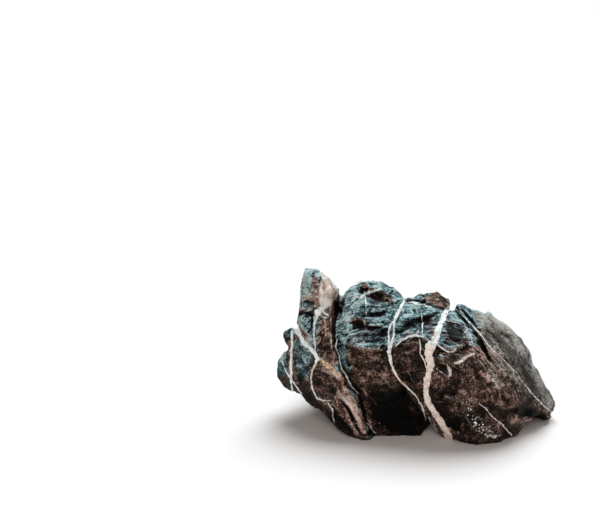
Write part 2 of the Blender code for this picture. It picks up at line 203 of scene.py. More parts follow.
@dataclass(frozen=True)
class Sheet:
    """A sheet that the stone's marks are drawn on, as they are seen from one point.

    Args:
        eye: The point that the drawing is made from.
        turn: How far the sheet is turned about +Z from facing the eye along +Y, in degrees.
        dip: How far the line of sight dips, in degrees.
        distance: How far the sheet is from the eye.
        zero: Where the sheet's own zero is, across and up from the line of sight.
        graze: Between which cosines the skin goes from turned away from the eye to well turned towards it.
    """

    eye: tuple[float, float, float]
    turn: float
    dip: float
    distance: float
    zero: Span
    graze: Span = (-0.05, 0.25)

    def axes(self) -> tuple[Array, Array, Array]:
        """Works out which way the sheet lies.

        Returns:
            Its directions across, up and away.
        """
        turn, dip = math.radians(self.turn), math.radians(self.dip)
        across = np.array((math.cos(turn), math.sin(turn), 0.0))
        away = np.array((-math.sin(turn) * math.cos(dip), math.cos(turn) * math.cos(dip), -math.sin(dip)))
        return across, np.cross(across, away), away

    def place(self, points: Array) -> Array:
        """Finds where points of the stone are on the sheet.

        Args:
            points: The points.

        Returns:
            Their places, across and up from the sheet's zero.
        """
        across, up, away = self.axes()
        sight = points - np.array(self.eye)
        flat = np.stack((sight @ across, sight @ up), axis=1) * (self.distance / (sight @ away))[:, None]
        return flat - np.array(self.zero)

    def facing(self, points: Array, normals: Array) -> Array:
        """Finds how much the skin faces the eye.

        Args:
            points: The skin's corners.
            normals: The directions that the skin faces there.

        Returns:
            0 where it is turned away, 1 where it is well turned towards the eye.
        """
        sight = np.array(self.eye) - points
        sight /= np.linalg.norm(sight, axis=1)[:, None]
        return smooth_step(*self.graze, np.einsum("ij,ij->i", sight, normals))

    def narrowing(self, points: Array, normals: Array, along: Array) -> Array:
        """Finds how much narrower than drawn a line is, so that it stays narrow where it grazes the skin.

        Args:
            points: The skin's corners.
            normals: The directions that the skin faces there.
            along: Which way the line runs there, across and up.

        Returns:
            A factor for the line's width: 1 on what faces the eye, and less where the skin is turned away.
        """
        across, up, _ = self.axes()
        side = along[:, :1] * up - along[:, 1:] * across
        graze = np.sqrt(np.maximum(1.0 - np.einsum("ij,ij->i", side, normals) ** 2, 0.0))
        return graze + (1.0 - graze) * self.facing(points, normals)


FRONT = Sheet(eye=(-0.73, -644.76, 258.59), turn=8.28, dip=11.64, distance=648.4, zero=(90.3, -74.3))
BACK = Sheet(eye=(0.0, 700.0, 200.0), turn=180.0, dip=12.0, distance=700.0, zero=(0.0, -55.0))


@dataclass(frozen=True)
class Stroke:
    """A line drawn on a sheet.

    Args:
        path: The points it goes through, each across, up and wide.
        sheet: The sheet that it is on.
        fade: How far inside and outside its edge a tint's colour changes.
        strength: How strong a tint is; above 1 it reaches on to skin that hardly faces the eye.
    """

    path: Path
    sheet: Sheet = FRONT
    fade: float = 1.6
    strength: float = 1.0

    def measure(self, flat: Array) -> tuple[Array, Array, Array]:
        """Measures places on the sheet against the line.

        Args:
            flat: The places, across and up.

        Returns:
            How far each is from the line, minus on its right-hand side; half the line's width there; and the
            way that the line runs there, across and up.
        """
        best = np.full(len(flat), np.inf)
        off = np.full(len(flat), FAR)
        half = np.zeros(len(flat))
        along = np.zeros((len(flat), 2))
        points = np.array(self.path, dtype=float)
        for start, end in zip(points[:-1], points[1:]):
            run = end[:2] - start[:2]
            t = np.clip(((flat - start[:2]) @ run) / (run @ run), 0.0, 1.0)
            away = flat - (start[:2] + t[:, None] * run)
            distance = np.hypot(away[:, 0], away[:, 1])
            here = (start[2] + t * (end[2] - start[2])) / 2.0
            closer = distance - here < best
            side = np.where(run[0] * away[:, 1] - run[1] * away[:, 0] < 0.0, -1.0, 1.0)
            best[closer] = (distance - here)[closer]
            off[closer] = (side * distance)[closer]
            half[closer] = here[closer]
            along[closer] = run / np.hypot(run[0], run[1])
        return off, half, along


@dataclass(frozen=True)
class Gash(Stroke):
    """A cut with steep sides along a line.

    Args:
        depth: How deep it goes.
        sides: Where its sides start and end, as shares of half its width.
        least: The least half width that its sides are worked out from.
    """

    depth: float = 1.5
    sides: Span = (0.15, 1.1)
    least: float = 0.1

    def taken(self, flat: Array) -> Array:
        """Gives how deep it takes the skin in."""
        off, half, _ = self.measure(flat)
        return self.depth * (1.0 - smooth_step(*self.sides, np.abs(off) / np.maximum(half, self.least)))


@dataclass(frozen=True)
class Lip(Stroke):
    """An edge along a line, under whose right-hand side the skin is set back by half the line's width.

    Args:
        reach: How far from the edge the set-back dies out.
        drop: How far from the edge it is full.
        ends: From how far before the line's end to how far past it the set-back dies out.
    """

    reach: float = 4.0
    drop: float = 0.9
    ends: Span = (-1.0, 1.5)

    def taken(self, flat: Array) -> Array:
        """Finds how deep it takes the skin in.

        Args:
            flat: The places on the sheet.

        Returns:
            The depth at each.
        """
        off, half, _ = self.measure(flat)
        below = smooth_step(0.0, self.drop, -off) * (1.0 - smooth_step(self.drop, self.reach, -off))
        first, last = np.array(self.path[0][:2]), np.array(self.path[-1][:2])
        run = (last - first) / np.linalg.norm(last - first)
        beyond = np.maximum((first - flat) @ run, (flat - last) @ run)
        return half * below * (1.0 - smooth_step(*self.ends, beyond))


VEINS = (
    # The bold upright vein down the far left lobe, and the thin one that branches off beside it.
    Stroke(((-96.5, 19, 2), (-96.5, 13, 2.1), (-97.5, -4.5, 2), (-97, -18, 1.6), (-96.5, -29, 1))),
    Stroke(((-103, 2.5, 0.5), (-104.5, -3, 0.8), (-101.5, -10.5, 0.8), (-96.5, -18.5, 1.1), (-91, -26, 0.8),
            (-87.5, -32.5, 0.5))),
    # The bold slanting vein across the slab.
    Stroke(((-94, 24.5, 4.8), (-88, 12, 3.8), (-80.5, 4.5, 3), (-76.5, -1, 2.6))),
    # The upright one from the finger's foot, which goes on down the slab as a hairline.
    Stroke(((-73.5, 38.5, 2.6), (-75.8, 35, 5.2), (-78, 31, 4), (-79, 26.5, 2.2), (-79.5, 20, 1.2),
            (-79, 10, 0.9), (-78.5, 4, 1.1), (-77, -1, 2.3), (-78.5, -6, 1.9), (-81, -12.5, 1.1),
            (-82, -16.5, 1.1), (-80.5, -25, 1.2), (-77.5, -32, 1.1), (-72, -34, 0.9), (-67, -34, 0.6))),
    Stroke(((-68.5, -36, 0.7), (-65, -41, 1.1), (-64, -51, 0.7))),
    # Along the crease between the slab and the hump, and at its foot.
    Stroke(((-61.5, 13, 0.6), (-63, 8, 1), (-60, 2, 1), (-58.5, -8, 0.9), (-53.5, -16, 0.9),
            (-50.5, -22.5, 0.9), (-45, -28.5, 0.5))),
    Stroke(((-38, -51.5, 0.8), (-31.5, -59, 0.8))),
    # The streak at the finger's tip.
    Stroke(((-75, 68.5, 1.4), (-72.5, 62, 1.5), (-70.5, 56.5, 0.8))),
    # The hairline down the crown.
    Stroke(((-39.6, 50, 0.4), (-39.3, 45, 0.8), (-39, 39, 0.6), (-38.7, 33, 0.4))),
    # The vein between the hump and the shoulder: one at the top, forked round a sliver, then thinning
    # downwards.
    Stroke(((-7, 48, 2), (-10, 42.5, 2.6), (-12.5, 37.5, 2.7), (-15, 32.5, 2.4), (-17, 27.5, 1.8),
            (-17.3, 24, 1.4), (-17.3, 17, 1.5), (-18.6, 11.5, 1.9), (-20.3, 7.5, 3), (-21, 3.5, 3),
            (-20, -2.5, 2.2), (-18, -9.5, 1.7), (-14.5, -15.5, 1.5), (-10.5, -20.5, 1.2), (-5.5, -25, 1),
            (-1.5, -28.5, 1.1), (1.5, -33, 1.1), (4, -37.5, 0.9), (6.5, -43.5, 0.8), (7.5, -49, 0.6))),
    Stroke(((-17, 28.5, 1.2), (-19.8, 25.5, 1.3), (-20.9, 21, 1.2), (-21.2, 14, 1.2), (-20.8, 7, 1.6))),
    # The broadest vein, from the saddle down between the shoulder and the right-hand mass.
    Stroke(((31.5, 44, 2.8), (28.5, 40, 3.2), (24, 36.5, 3.8), (21.5, 31.5, 4.2), (19.2, 26, 4.2),
            (17, 19.5, 4.6), (15.2, 14.8, 5.2), (13.8, 11, 5.2))),
    Stroke(((11.6, 8.6, 7.4), (10.6, 5.4, 6.4), (9.6, 1.6, 5), (10.4, -2.5, 5.8), (11.4, -6.5, 6.2),
            (10.6, -10.5, 5.6), (9, -15, 4.9), (8, -20, 4.4), (7.6, -28, 4.4), (9.2, -34, 4.6),
            (12.2, -40, 4.8), (16.2, -46, 5), (20, -52, 5.4), (23.8, -58, 5.2), (26.5, -63.5, 4.6))),
    # The thin one along the scalloped rim under the cap, and the broad one's thin companions.
    Stroke(((16.5, 9.8, 0.5), (21, 6.3, 0.9), (25, 4, 0.9), (29, 4, 1), (31.5, 7.5, 0.6))),
    Stroke(((4.5, 32, 0.6), (5, 24, 0.8), (5, 16.5, 0.6))),
    Stroke(((3, 13, 0.6), (3.5, 2.5, 0.8), (6.5, -4, 1.1), (8, -8.5, 1))),
    Stroke(((10.5, -48, 0.7), (13, -53.5, 1.1), (16, -58, 1.1), (18.5, -62, 0.7))),
    # The pale line along the shoulder's rim.
    Stroke(((-15.5, 8.5, 0.6), (-12, 12.5, 1.1), (-7, 15.2, 1.3), (-1, 16.8, 1.4), (5, 16.2, 0.9))),
    # The long thin line down the right-hand mass to the tail, the one low on its front, and a short one
    # higher up.
    Stroke(((30.5, 38, 0.7), (36.5, 32, 0.9), (42.5, 26.5, 0.9), (48.5, 20, 0.9), (54.5, 11.5, 0.8),
            (60.5, 4.5, 0.7), (66, 0, 0.42), (73, -7, 0.36), (79, -14, 0.4), (84, -20.5, 0.36),
            (90, -28, 0.5), (98, -36.5, 0.7), (106, -43.5, 0.5))),
    Stroke(((49.5, -36.5, 0.4), (54, -39.5, 0.7), (59.5, -46.5, 0.8), (67.5, -53, 1), (74.5, -61, 0.7))),
    Stroke(((16, -9.5, 0.5), (20, -12, 0.6), (23.5, -14, 0.4))),
)

TINTS: dict[Tint, tuple[Stroke, ...]] = {
    Tint.CREAM: (
        # The finger's right-hand face, and the pale patch at its foot.
        Stroke(((-71.5, 65, 4), (-69.5, 60, 7.5), (-67.5, 52, 15), (-70, 44, 10.5), (-74, 36, 4)),
               fade=4.0),
    ),
    Tint.OCHRE: (
        # The band that slants down the slab.
        Stroke(((-76, -2, 2.6), (-70, -5.5, 4.4), (-63, -11.5, 3.8), (-57, -17, 2.2))),
    ),
    Tint.PINK: (
        # The tan band that goes on down the slab to the left foot, and the slivers and the tan face beside
        # it.
        Stroke(((-63, -12, 4), (-58, -19, 6)), fade=2.0, strength=0.7),
        Stroke(((-56.5, -24, 4), (-54, -30, 7), (-49, -38, 7.6), (-44.5, -46, 6.6), (-42.5, -52, 5),
                (-41, -58.5, 3)), fade=2.0),
        Stroke(((-64, -30, 0.6), (-61.5, -34, 1.2), (-60.5, -38.5, 0.6)), fade=0.9),
        Stroke(((-57, -37, 0.6), (-54, -42, 1.4), (-51, -48.5, 0.6)), fade=0.9),
        Stroke(((-52, -49, 0.6), (-50, -52.5, 1.4), (-47, -57, 0.8)), fade=0.9),
        Stroke(((-62, -39, 2), (-56, -48, 3), (-51, -55, 1.6)), strength=0.4),
        # Beside the slab's upright vein, and the slab's warm brown middle.
        Stroke(((-82, -11, 1.4), (-77, -5, 2))),
        Stroke(((-79, -9, 6), (-74.5, -15, 11), (-68, -22, 6)), fade=5.0, strength=0.4),
        # The wall of the recess beside the finger.
        Stroke(((-64, 44, 2), (-64, 37, 4), (-62.5, 30, 3.4), (-63.5, 20, 2)), fade=1.5, strength=0.8),
        # A paler patch on the front of the right-hand mass.
        Stroke(((50, -12, 4), (58, -17, 8), (64, -24, 5)), fade=3.0, strength=0.55),
        # The streaks down the finger's right-hand face and down the brown column under it.
        Stroke(((-69, 64, 1), (-66, 58, 2.6), (-64, 51, 2.4), (-66.5, 43, 1.6)), fade=1.0),
        Stroke(((-73, 60, 1), (-71, 53, 2.4), (-71.5, 47, 2.2)), fade=1.0),
        Stroke(((-71, 29, 1.2), (-70, 20, 1), (-70.5, 12, 0.6)), fade=0.6),
        Stroke(((-66, 31, 1.4), (-66.5, 20, 1.4), (-65.5, 8, 0.8)), fade=0.6),
    ),
    Tint.CRUST_AND_HIGHLIGHT: (
        # The short pale ones and the pale patch on the front of the right-hand mass, and the one at its
        # foot.
        Stroke(((30.5, -4.5, 3), (33.5, -4, 4.2), (38.5, 0, 3.6), (42, 1.5, 3), (45.5, 3, 1.8)), fade=1.6,
               strength=0.95),
        Stroke(((24.5, -7, 2.4), (26, -9.5, 4.4), (26.5, -13, 3.6), (25.5, -16.5, 2)), fade=1.6,
               strength=0.9),
        Stroke(((52, -10, 1.6), (57, -16, 4), (63, -22, 4.4)), strength=0.72),
        Stroke(((54, -61, 2), (60, -62, 4), (66, -60.5, 1.6)), strength=0.85),
        # The cap's scalloped rim, its top and its right-hand side.
        Stroke(((21, 9, 0.8), (25, 6, 1.8), (31, 5, 1.8), (36.5, 8, 1.4)), strength=0.75),
        Stroke(((19.5, 12, 1), (24.5, 8.5, 1.6), (30, 7, 1.4), (33, 10, 1.8), (38, 8, 1.2)), fade=1.0,
               strength=0.75),
        Stroke(((27, 33, 1), (32, 28, 2.6), (35, 24, 1.4)), strength=0.75),
        Stroke(((36.5, 28, 1.8), (39, 23, 2.6), (42, 17, 3.6), (44.5, 10, 2.4)), strength=0.75),
        # The shoulder's rim, and the crests behind the shoulder.
        Stroke(((-14.5, 9.5, 2), (-11, 13.5, 3), (-6, 16, 3.6), (0, 17.2, 3.6), (8, 15, 2.4)), fade=1.6,
               strength=0.8),
        Stroke(((-8.5, 42.6, 1), (-2.5, 42.4, 1.8), (5, 41.2, 1.8), (12, 38.5, 1)), fade=1.0, strength=1.3),
        Stroke(((-2, 45.5, 1), (3, 46, 2.4), (8, 49, 1.2)), strength=0.75),
        # The crown's highest rim and the lip over its hollow, as painted highlights in the colour of calcite,
        # the end of its hairline, and the ledge below it.
        Stroke(((-46.5, 57, 1.4), (-42, 59.5, 2.4), (-34, 60.5, 2.4), (-29, 59, 1.2)), fade=1.2,
               strength=1.8),
        Stroke(((-43, 46.5, 1.2), (-36.5, 50.5, 2.2), (-28, 53, 1.6)), fade=1.0, strength=1.5),
        Stroke(((-40.4, 29.8, 0.8), (-40.2, 27.5, 1.6), (-40, 25.2, 0.8)), fade=0.6, strength=1.2),
        Stroke(((-56, 1, 0.8), (-46, -1, 1.2), (-36, 3, 1)), strength=0.75),
        # Painted highlights in the colour of calcite on the finger's two rims, and the edge between its
        # faces.
        Stroke(((-84, 68, 1.2), (-88.3, 66.5, 2), (-90, 57, 1.4), (-90.3, 44, 1.2), (-90.5, 38, 1)),
               fade=1.0, strength=1.5),
        Stroke(((-74.5, 67.8, 1.2), (-68.5, 63.2, 1.8), (-64.6, 56.5, 1.4), (-60.5, 50.5, 1.6)), fade=1.0,
               strength=1.5),
        Stroke(((-78, 60, 0.8), (-76.5, 50, 1.4), (-78, 41, 1)), fade=0.8, strength=0.6),
        # The dabs on the finger's left face, and the two at its foot.
        Stroke(((-87, 51, 2), (-84, 48.5, 3), (-81, 47, 2)), fade=1.2, strength=0.8),
        Stroke(((-80.8, 53, 1.2), (-78, 50.8, 1.6)), fade=0.8, strength=1.0),
        Stroke(((-78.8, 47.4, 1.2), (-75.6, 46, 1.6)), fade=0.8, strength=1.0),
        Stroke(((-82, 38.6, 1), (-78.5, 39.8, 1.6), (-75.5, 38, 1.4)), fade=0.8, strength=1.0),
        Stroke(((-76, 37, 1.6), (-71.5, 34.6, 2.4), (-68, 32, 1.4)), fade=1.0, strength=1.1),
        Stroke(((-75, 32.8, 1.4), (-71.5, 30.2, 2), (-68.5, 31, 1.2)), fade=1.0, strength=1.1),
        # The pale streaks on the far left lobe.
        Stroke(((-94, 9, 0.8), (-88, 4, 1.2), (-84, -1, 0.8)), fade=0.8, strength=0.75),
        Stroke(((-95, 3, 0.8), (-90, -2, 1), (-86, -8, 0.8)), fade=0.8, strength=0.75),
    ),
    Tint.DARK: (
        # The two small knobs at the far left.
        Stroke(((-103.8, 16.5, 2.6), (-102.2, 16.3, 2.6)), fade=0.8),
        Stroke(((-103.4, 9.8, 2.4), (-102, 9.6, 2.4)), fade=0.8),
        # The crown, the shoulder, the knob behind it and the cap, which are darker than the rest of what
        # looks up.
        Stroke(((-48, 50, 8), (-36, 51, 14), (-22, 50, 10)), fade=4.0, strength=0.25),
        Stroke(((-46, 17, 6), (-38, 17, 13), (-29, 17, 13), (-23, 17, 6)), fade=4.0, strength=0.46),
        Stroke(((-34, 34, 6), (-29, 26, 9), (-26, 18, 6)), fade=4.0, strength=0.32),
        Stroke(((-6, 29, 6), (0, 30, 9), (7, 27, 6)), fade=4.0, strength=0.4),
        Stroke(((11, 47, 4), (17, 46.5, 9), (22, 42, 6)), fade=2.0, strength=0.3),
        Stroke(((27, 25, 6), (31, 18, 14), (37, 14, 8)), fade=4.0, strength=0.72),
        # Painted shade in the recess beside the finger.
        Stroke(((-60.5, 39.5, 2), (-60.8, 35.5, 3.2), (-61.5, 32, 2.2)), strength=0.7),
        Stroke(((-64.3, 25, 1.4), (-63.8, 19.5, 2)), fade=1.0, strength=0.8),
        # Painted shade in the hollows between the folds of the crown, and in the one beside the shoulder.
        Stroke(((-36, 43.5, 3), (-28, 44.5, 6.5), (-20, 44.5, 5)), strength=0.2),
        Stroke(((-33, 43, 1.4), (-27, 44, 2.4), (-22, 43, 2)), strength=0.7),
        Stroke(((-40, 57, 2.6), (-37.5, 53, 3.6)), strength=0.45),
        Stroke(((-47, 33, 2), (-42, 34, 3), (-36, 32, 3)), strength=0.7),
        Stroke(((-49, 27, 3), (-43, 24, 6), (-36, 23, 4)), strength=0.7),
        Stroke(((-47, 26, 1.2), (-42, 23, 2), (-37, 22.5, 1.4))),
        Stroke(((-35, 33, 1.6), (-30, 33.5, 3), (-24, 33, 2))),
        Stroke(((-35, 22.5, 1.5), (-31, 23, 2.6), (-27, 22.5, 1.4))),
        Stroke(((-35, 15, 1.4), (-28, 18.5, 3), (-22.5, 22, 3))),
        Stroke(((-46, 52, 1.2), (-41, 50.5, 1.6), (-35, 52.5, 1.2)), strength=0.7),
        Stroke(((-16, 21.5, 2.4), (-12.5, 19.5, 3))),
        # Painted shade in the crease round the knuckle.
        Stroke(((-91, 34, 1.4), (-84, 34.5, 1.8), (-80.5, 31, 1.6), (-81, 24, 1.4), (-84, 19, 1))),
        # Painted shade under the shoulder's lip, and on the face below it.
        Stroke(((-12, 20, 2.6), (-4.5, 25.5, 4.2), (3, 29, 5), (11, 32, 4.2), (18, 35, 2)), fade=1.0,
               strength=0.8),
        Stroke(((-9, 20, 6), (0, 21, 8), (8, 21, 6)), fade=3.0, strength=0.3),
        # Painted shade in the cavity at the foot of the stone, between the two front feet, and on the faces
        # that lead down to it.
        Stroke(((-30, -44, 10), (-14, -48, 24), (0, -53, 16), (8, -58, 8)), fade=6.0),
        Stroke(((-38, -28, 6), (-24, -32, 14), (-8, -34, 14)), fade=9.0, strength=0.75),
        Stroke(((-12, -8, 6), (-6, -16, 10), (0, -26, 10)), fade=7.0, strength=0.45),
        # Round the pale patch on the front of the right-hand mass.
        Stroke(((50, -28, 5), (58, -30, 8), (67, -34, 6)), fade=4.0, strength=0.35),
        Stroke(((45, -5, 4), (52, -8, 6)), fade=4.0, strength=0.3),
        # Darker on the middle of the flank, and painted shade under the tail.
        Stroke(((62, 18, 6), (76, 4, 14), (88, -14, 14), (96, -28, 6)), fade=7.0, strength=0.5),
        Stroke(((76, -42, 3), (84, -43, 7), (98, -46.5, 5))),
        # Painted shade in the gashes at the top of the right-hand mass.
        Stroke(((48, 17, 0.8), (50.5, 12.5, 1.6), (53.5, 6, 2.2), (57.5, -2.5, 1)), fade=0.8),
        Stroke(((31.5, 36, 1.4), (36, 31, 2.2), (41, 26, 1.8)), fade=0.9),
        Stroke(((35, 37.5, 1.2), (40.5, 32, 1.6), (49, 21, 1.4)), fade=0.9),
        # The slivers in the left foot.
        Stroke(((-59, -33, 1.4), (-53, -41, 3), (-49, -49, 2)), fade=1.2),
        Stroke(((-66, -43, 2), (-58, -50, 3.6), (-50, -58, 3)), fade=1.6),
    ),
    Tint.TEAL: (
        # Round the two small knobs.
        Stroke(((-106, 18.5, 1.4), (-103, 20, 1.6), (-99.8, 17.5, 1.4), (-100, 13, 1.4), (-104, 13, 1.2),
                (-106, 10, 1.2)), fade=1.0),
        # The finger's left face, the knuckle, and the films on the far left lobe.
        Stroke(((-86, 64, 6), (-85.5, 54, 12), (-85, 40, 12)), fade=3.0, strength=0.4),
        Stroke(((-86.5, 31, 7), (-85.5, 25, 8)), fade=1.5),
        Stroke(((-103.5, 0, 4), (-104, -12, 8))),
        Stroke(((-91, 11, 6), (-88, 3, 11), (-87, -6, 13), (-89, -14, 8)), fade=2.0),
        # Along the crease between the slab and the hump.
        Stroke(((-58, 13, 4), (-57.5, 4, 4), (-55.5, -5, 3), (-51.5, -12, 2)), fade=2.4, strength=0.9),
    ),
    Tint.BROWN: (
        # The brown column under the finger, and the knob behind the shoulder.
        Stroke(((-68, 30, 6), (-69, 20, 12), (-68, 6, 12), (-66, -2, 8)), fade=2.5),
        Stroke(((9, 46, 4), (16, 46.5, 11), (22, 42, 9)), fade=1.0),
        # The faces under the shoulder's rim and under its lip.
        Stroke(((-9, 8, 6), (0, 10, 8), (8, 4, 5))),
        Stroke(((-7, 18.5, 5), (3, 20, 7)), strength=0.35),
        Stroke(((5, 27, 5), (12, 25, 8), (12, 19, 6)), fade=2.5, strength=0.6),
        # The recess between the finger and the crown, and patches in the crown.
        Stroke(((-62.5, 47, 3), (-63.5, 40, 4.5), (-63.5, 31, 4)), fade=1.2, strength=1.2),
        Stroke(((-51, 18, 5), (-45, 14, 7), (-38, 11, 4)), fade=2.5, strength=0.3),
        Stroke(((-39.5, 57, 4), (-38, 53, 5.5)), fade=2.2, strength=0.55),
        Stroke(((-37, 45.5, 4), (-29, 46, 8), (-20, 45, 6)), fade=2.5, strength=0.5),
        Stroke(((-49.5, 28, 4), (-43, 25, 9), (-36, 22, 5)), fade=3.0, strength=0.5),
        Stroke(((-36, 31, 6), (-30, 24, 12), (-26, 16, 8)), fade=5.0, strength=0.25),
        # The broken faces at the front: the hump's, the one over the cavity, and the right-hand mass's.
        Stroke(((-49, -2, 8), (-40, -6, 16), (-26, -6, 14)), fade=3.0),
        Stroke(((-16, -14, 10), (-4, -20, 12), (5, -22, 8)), fade=3.0),
        Stroke(((26, -4, 10), (44, -12, 26), (54, -34, 26), (50, -54, 16)), fade=6.0),
        Stroke(((54, 0, 10), (64, -14, 16), (74, -30, 16)), fade=4.0),
        # The rounded cap, which is only partly bleached, and the band under it.
        Stroke(((26, 26, 9), (31, 18, 18), (38, 15, 12)), fade=3.0, strength=0.5),
        Stroke(((20, 5, 6), (33, 3, 8), (47, 4, 9))),
        # Beside the tan band at the left foot.
        Stroke(((-61, -22, 4), (-57, -31, 5)), fade=2.0),
        # The middle of the finger, between its two faces.
        Stroke(((-79.5, 63, 2), (-78.5, 55, 4.5), (-77.5, 46, 4.5), (-78, 38, 3)), fade=3.0, strength=0.7),
        # The right-hand mass behind its thin line.
        Stroke(((54, 16, 10), (68, 2, 22), (84, -16, 24), (94, -32, 14)), fade=8.0),
    ),
    Tint.GREY: (
        # Along the right-hand edge of the tan band.
        Stroke(((-53, -19, 1.6), (-48, -27, 3), (-45, -35, 2)), fade=1.4, strength=0.8),
        # The right-hand mass, above and behind its long thin line.
        Stroke(((48, 32, 8), (66, 22, 14), (84, 4, 14), (98, -18, 14), (107, -40, 12)), fade=6.0),
        Stroke(((54, 16, 12), (68, 2, 22), (84, -16, 24), (94, -32, 14)), fade=8.0, strength=0.5),
        # The same, where it goes on over the top towards the back.
        Stroke(((-44, 82, 8), (-66, 70, 16), (-88, 48, 18), (-100, 24, 12)), sheet=BACK, fade=7.0,
               strength=0.7),
        # The back, which rain reaches less.
        Stroke(((82, 58, 30), (30, 84, 40), (-30, 84, 40), (-70, 60, 30)), sheet=BACK, fade=16.0,
               strength=0.42),
        # The pale patch on the front of the right-hand mass.
        Stroke(((59, -12, 3), (63, -17, 6.5), (67, -22, 5)), fade=3.0, strength=0.7),
        # The finger's left face.
        Stroke(((-86, 63, 5), (-86, 55, 9), (-86, 45, 8), (-85, 38, 6)), fade=2.5, strength=0.45),
    ),
    Tint.PAINTED_LIGHT: (
        # Painted light: the finger, the knuckle, the far left lobes and the slab are made paler where light
        # falls on them.
        Stroke(((-82, 64, 8), (-79, 50, 20), (-81, 36, 15)), fade=3.0, strength=0.85),
        Stroke(((-68, 57, 5), (-68, 50, 8), (-69.5, 40, 6), (-69.5, 33, 3)), fade=2.5),
        Stroke(((-86, 28, 12), (-90, 8, 18), (-90, -12, 18), (-86, -26, 12)), fade=4.0, strength=0.8),
        Stroke(((-70, -10, 10), (-68, -24, 16), (-58, -34, 8)), fade=4.0, strength=0.6),
        # Painted light on the hump's left edge and on the crown's rim.
        Stroke(((-56, 44, 7), (-51, 40, 14), (-56, 28, 9), (-57, 16, 7), (-55.5, 3, 6)), fade=4.0,
               strength=0.9),
        Stroke(((-50, 56, 4), (-40, 59, 5), (-28, 57, 4)), fade=2.0, strength=0.4),
        # Painted light on the flank and on the lower front of the right-hand mass.
        Stroke(((52, 34, 8), (70, 24, 12), (84, 8, 10), (97, -18, 10)), fade=4.0),
        Stroke(((54, -2, 6), (64, -12, 8), (76, -22, 6)), fade=6.0, strength=0.7),
        Stroke(((36, -32, 10), (50, -44, 12), (64, -52, 8)), fade=6.0, strength=0.4),
        Stroke(((62, -38, 8), (74, -45, 11), (86, -46, 7)), fade=6.0, strength=0.8),
    ),
    Tint.SPECKS: (
        # Grains of calcite low on the right-hand mass and across its front, round the cap, and by the left
        # foot.
        Stroke(((40, -36, 4), (42, -43, 7), (46, -50, 9), (56, -59, 9)), fade=3.0),
        Stroke(((26, -18, 10), (46, -20, 14), (62, -16, 10)), fade=6.0, strength=0.45),
        Stroke(((20, 12, 3), (25, 8, 5), (31, 6, 5), (37, 10, 5), (40, 18, 5), (38, 26, 4)), fade=2.0,
               strength=0.8),
        Stroke(((-31, -51, 3), (-23, -56, 3)), fade=2.0, strength=0.6),
    ),
    Tint.WARM: (
        # Where iron has stained the calcite: the lower halves of the veins, and the thin lines to their
        # right.
        Stroke(((9.5, 3, 12), (10, -20, 16), (24, -58, 16)), fade=2.0),
        Stroke(((-18.5, -4, 4), (-12, -20, 6), (4, -38, 6)), fade=4.0),
        Stroke(((-80, -6, 5), (-81, -20, 5), (-70, -34, 4), (-64, -50, 4)), fade=3.0),
        Stroke(((25, -12, 12), (40, -1, 8)), fade=3.0),
        Stroke(((50, -37, 6), (62, -49, 6), (74, -61, 6)), fade=3.0),
        Stroke(((60, 5, 5), (72, -6, 5), (84, -20, 5)), fade=3.0),
        # The same at the back.
        Stroke(((-100, 4, 26), (100, 4, 26)), sheet=BACK, fade=9.0),
    ),
}

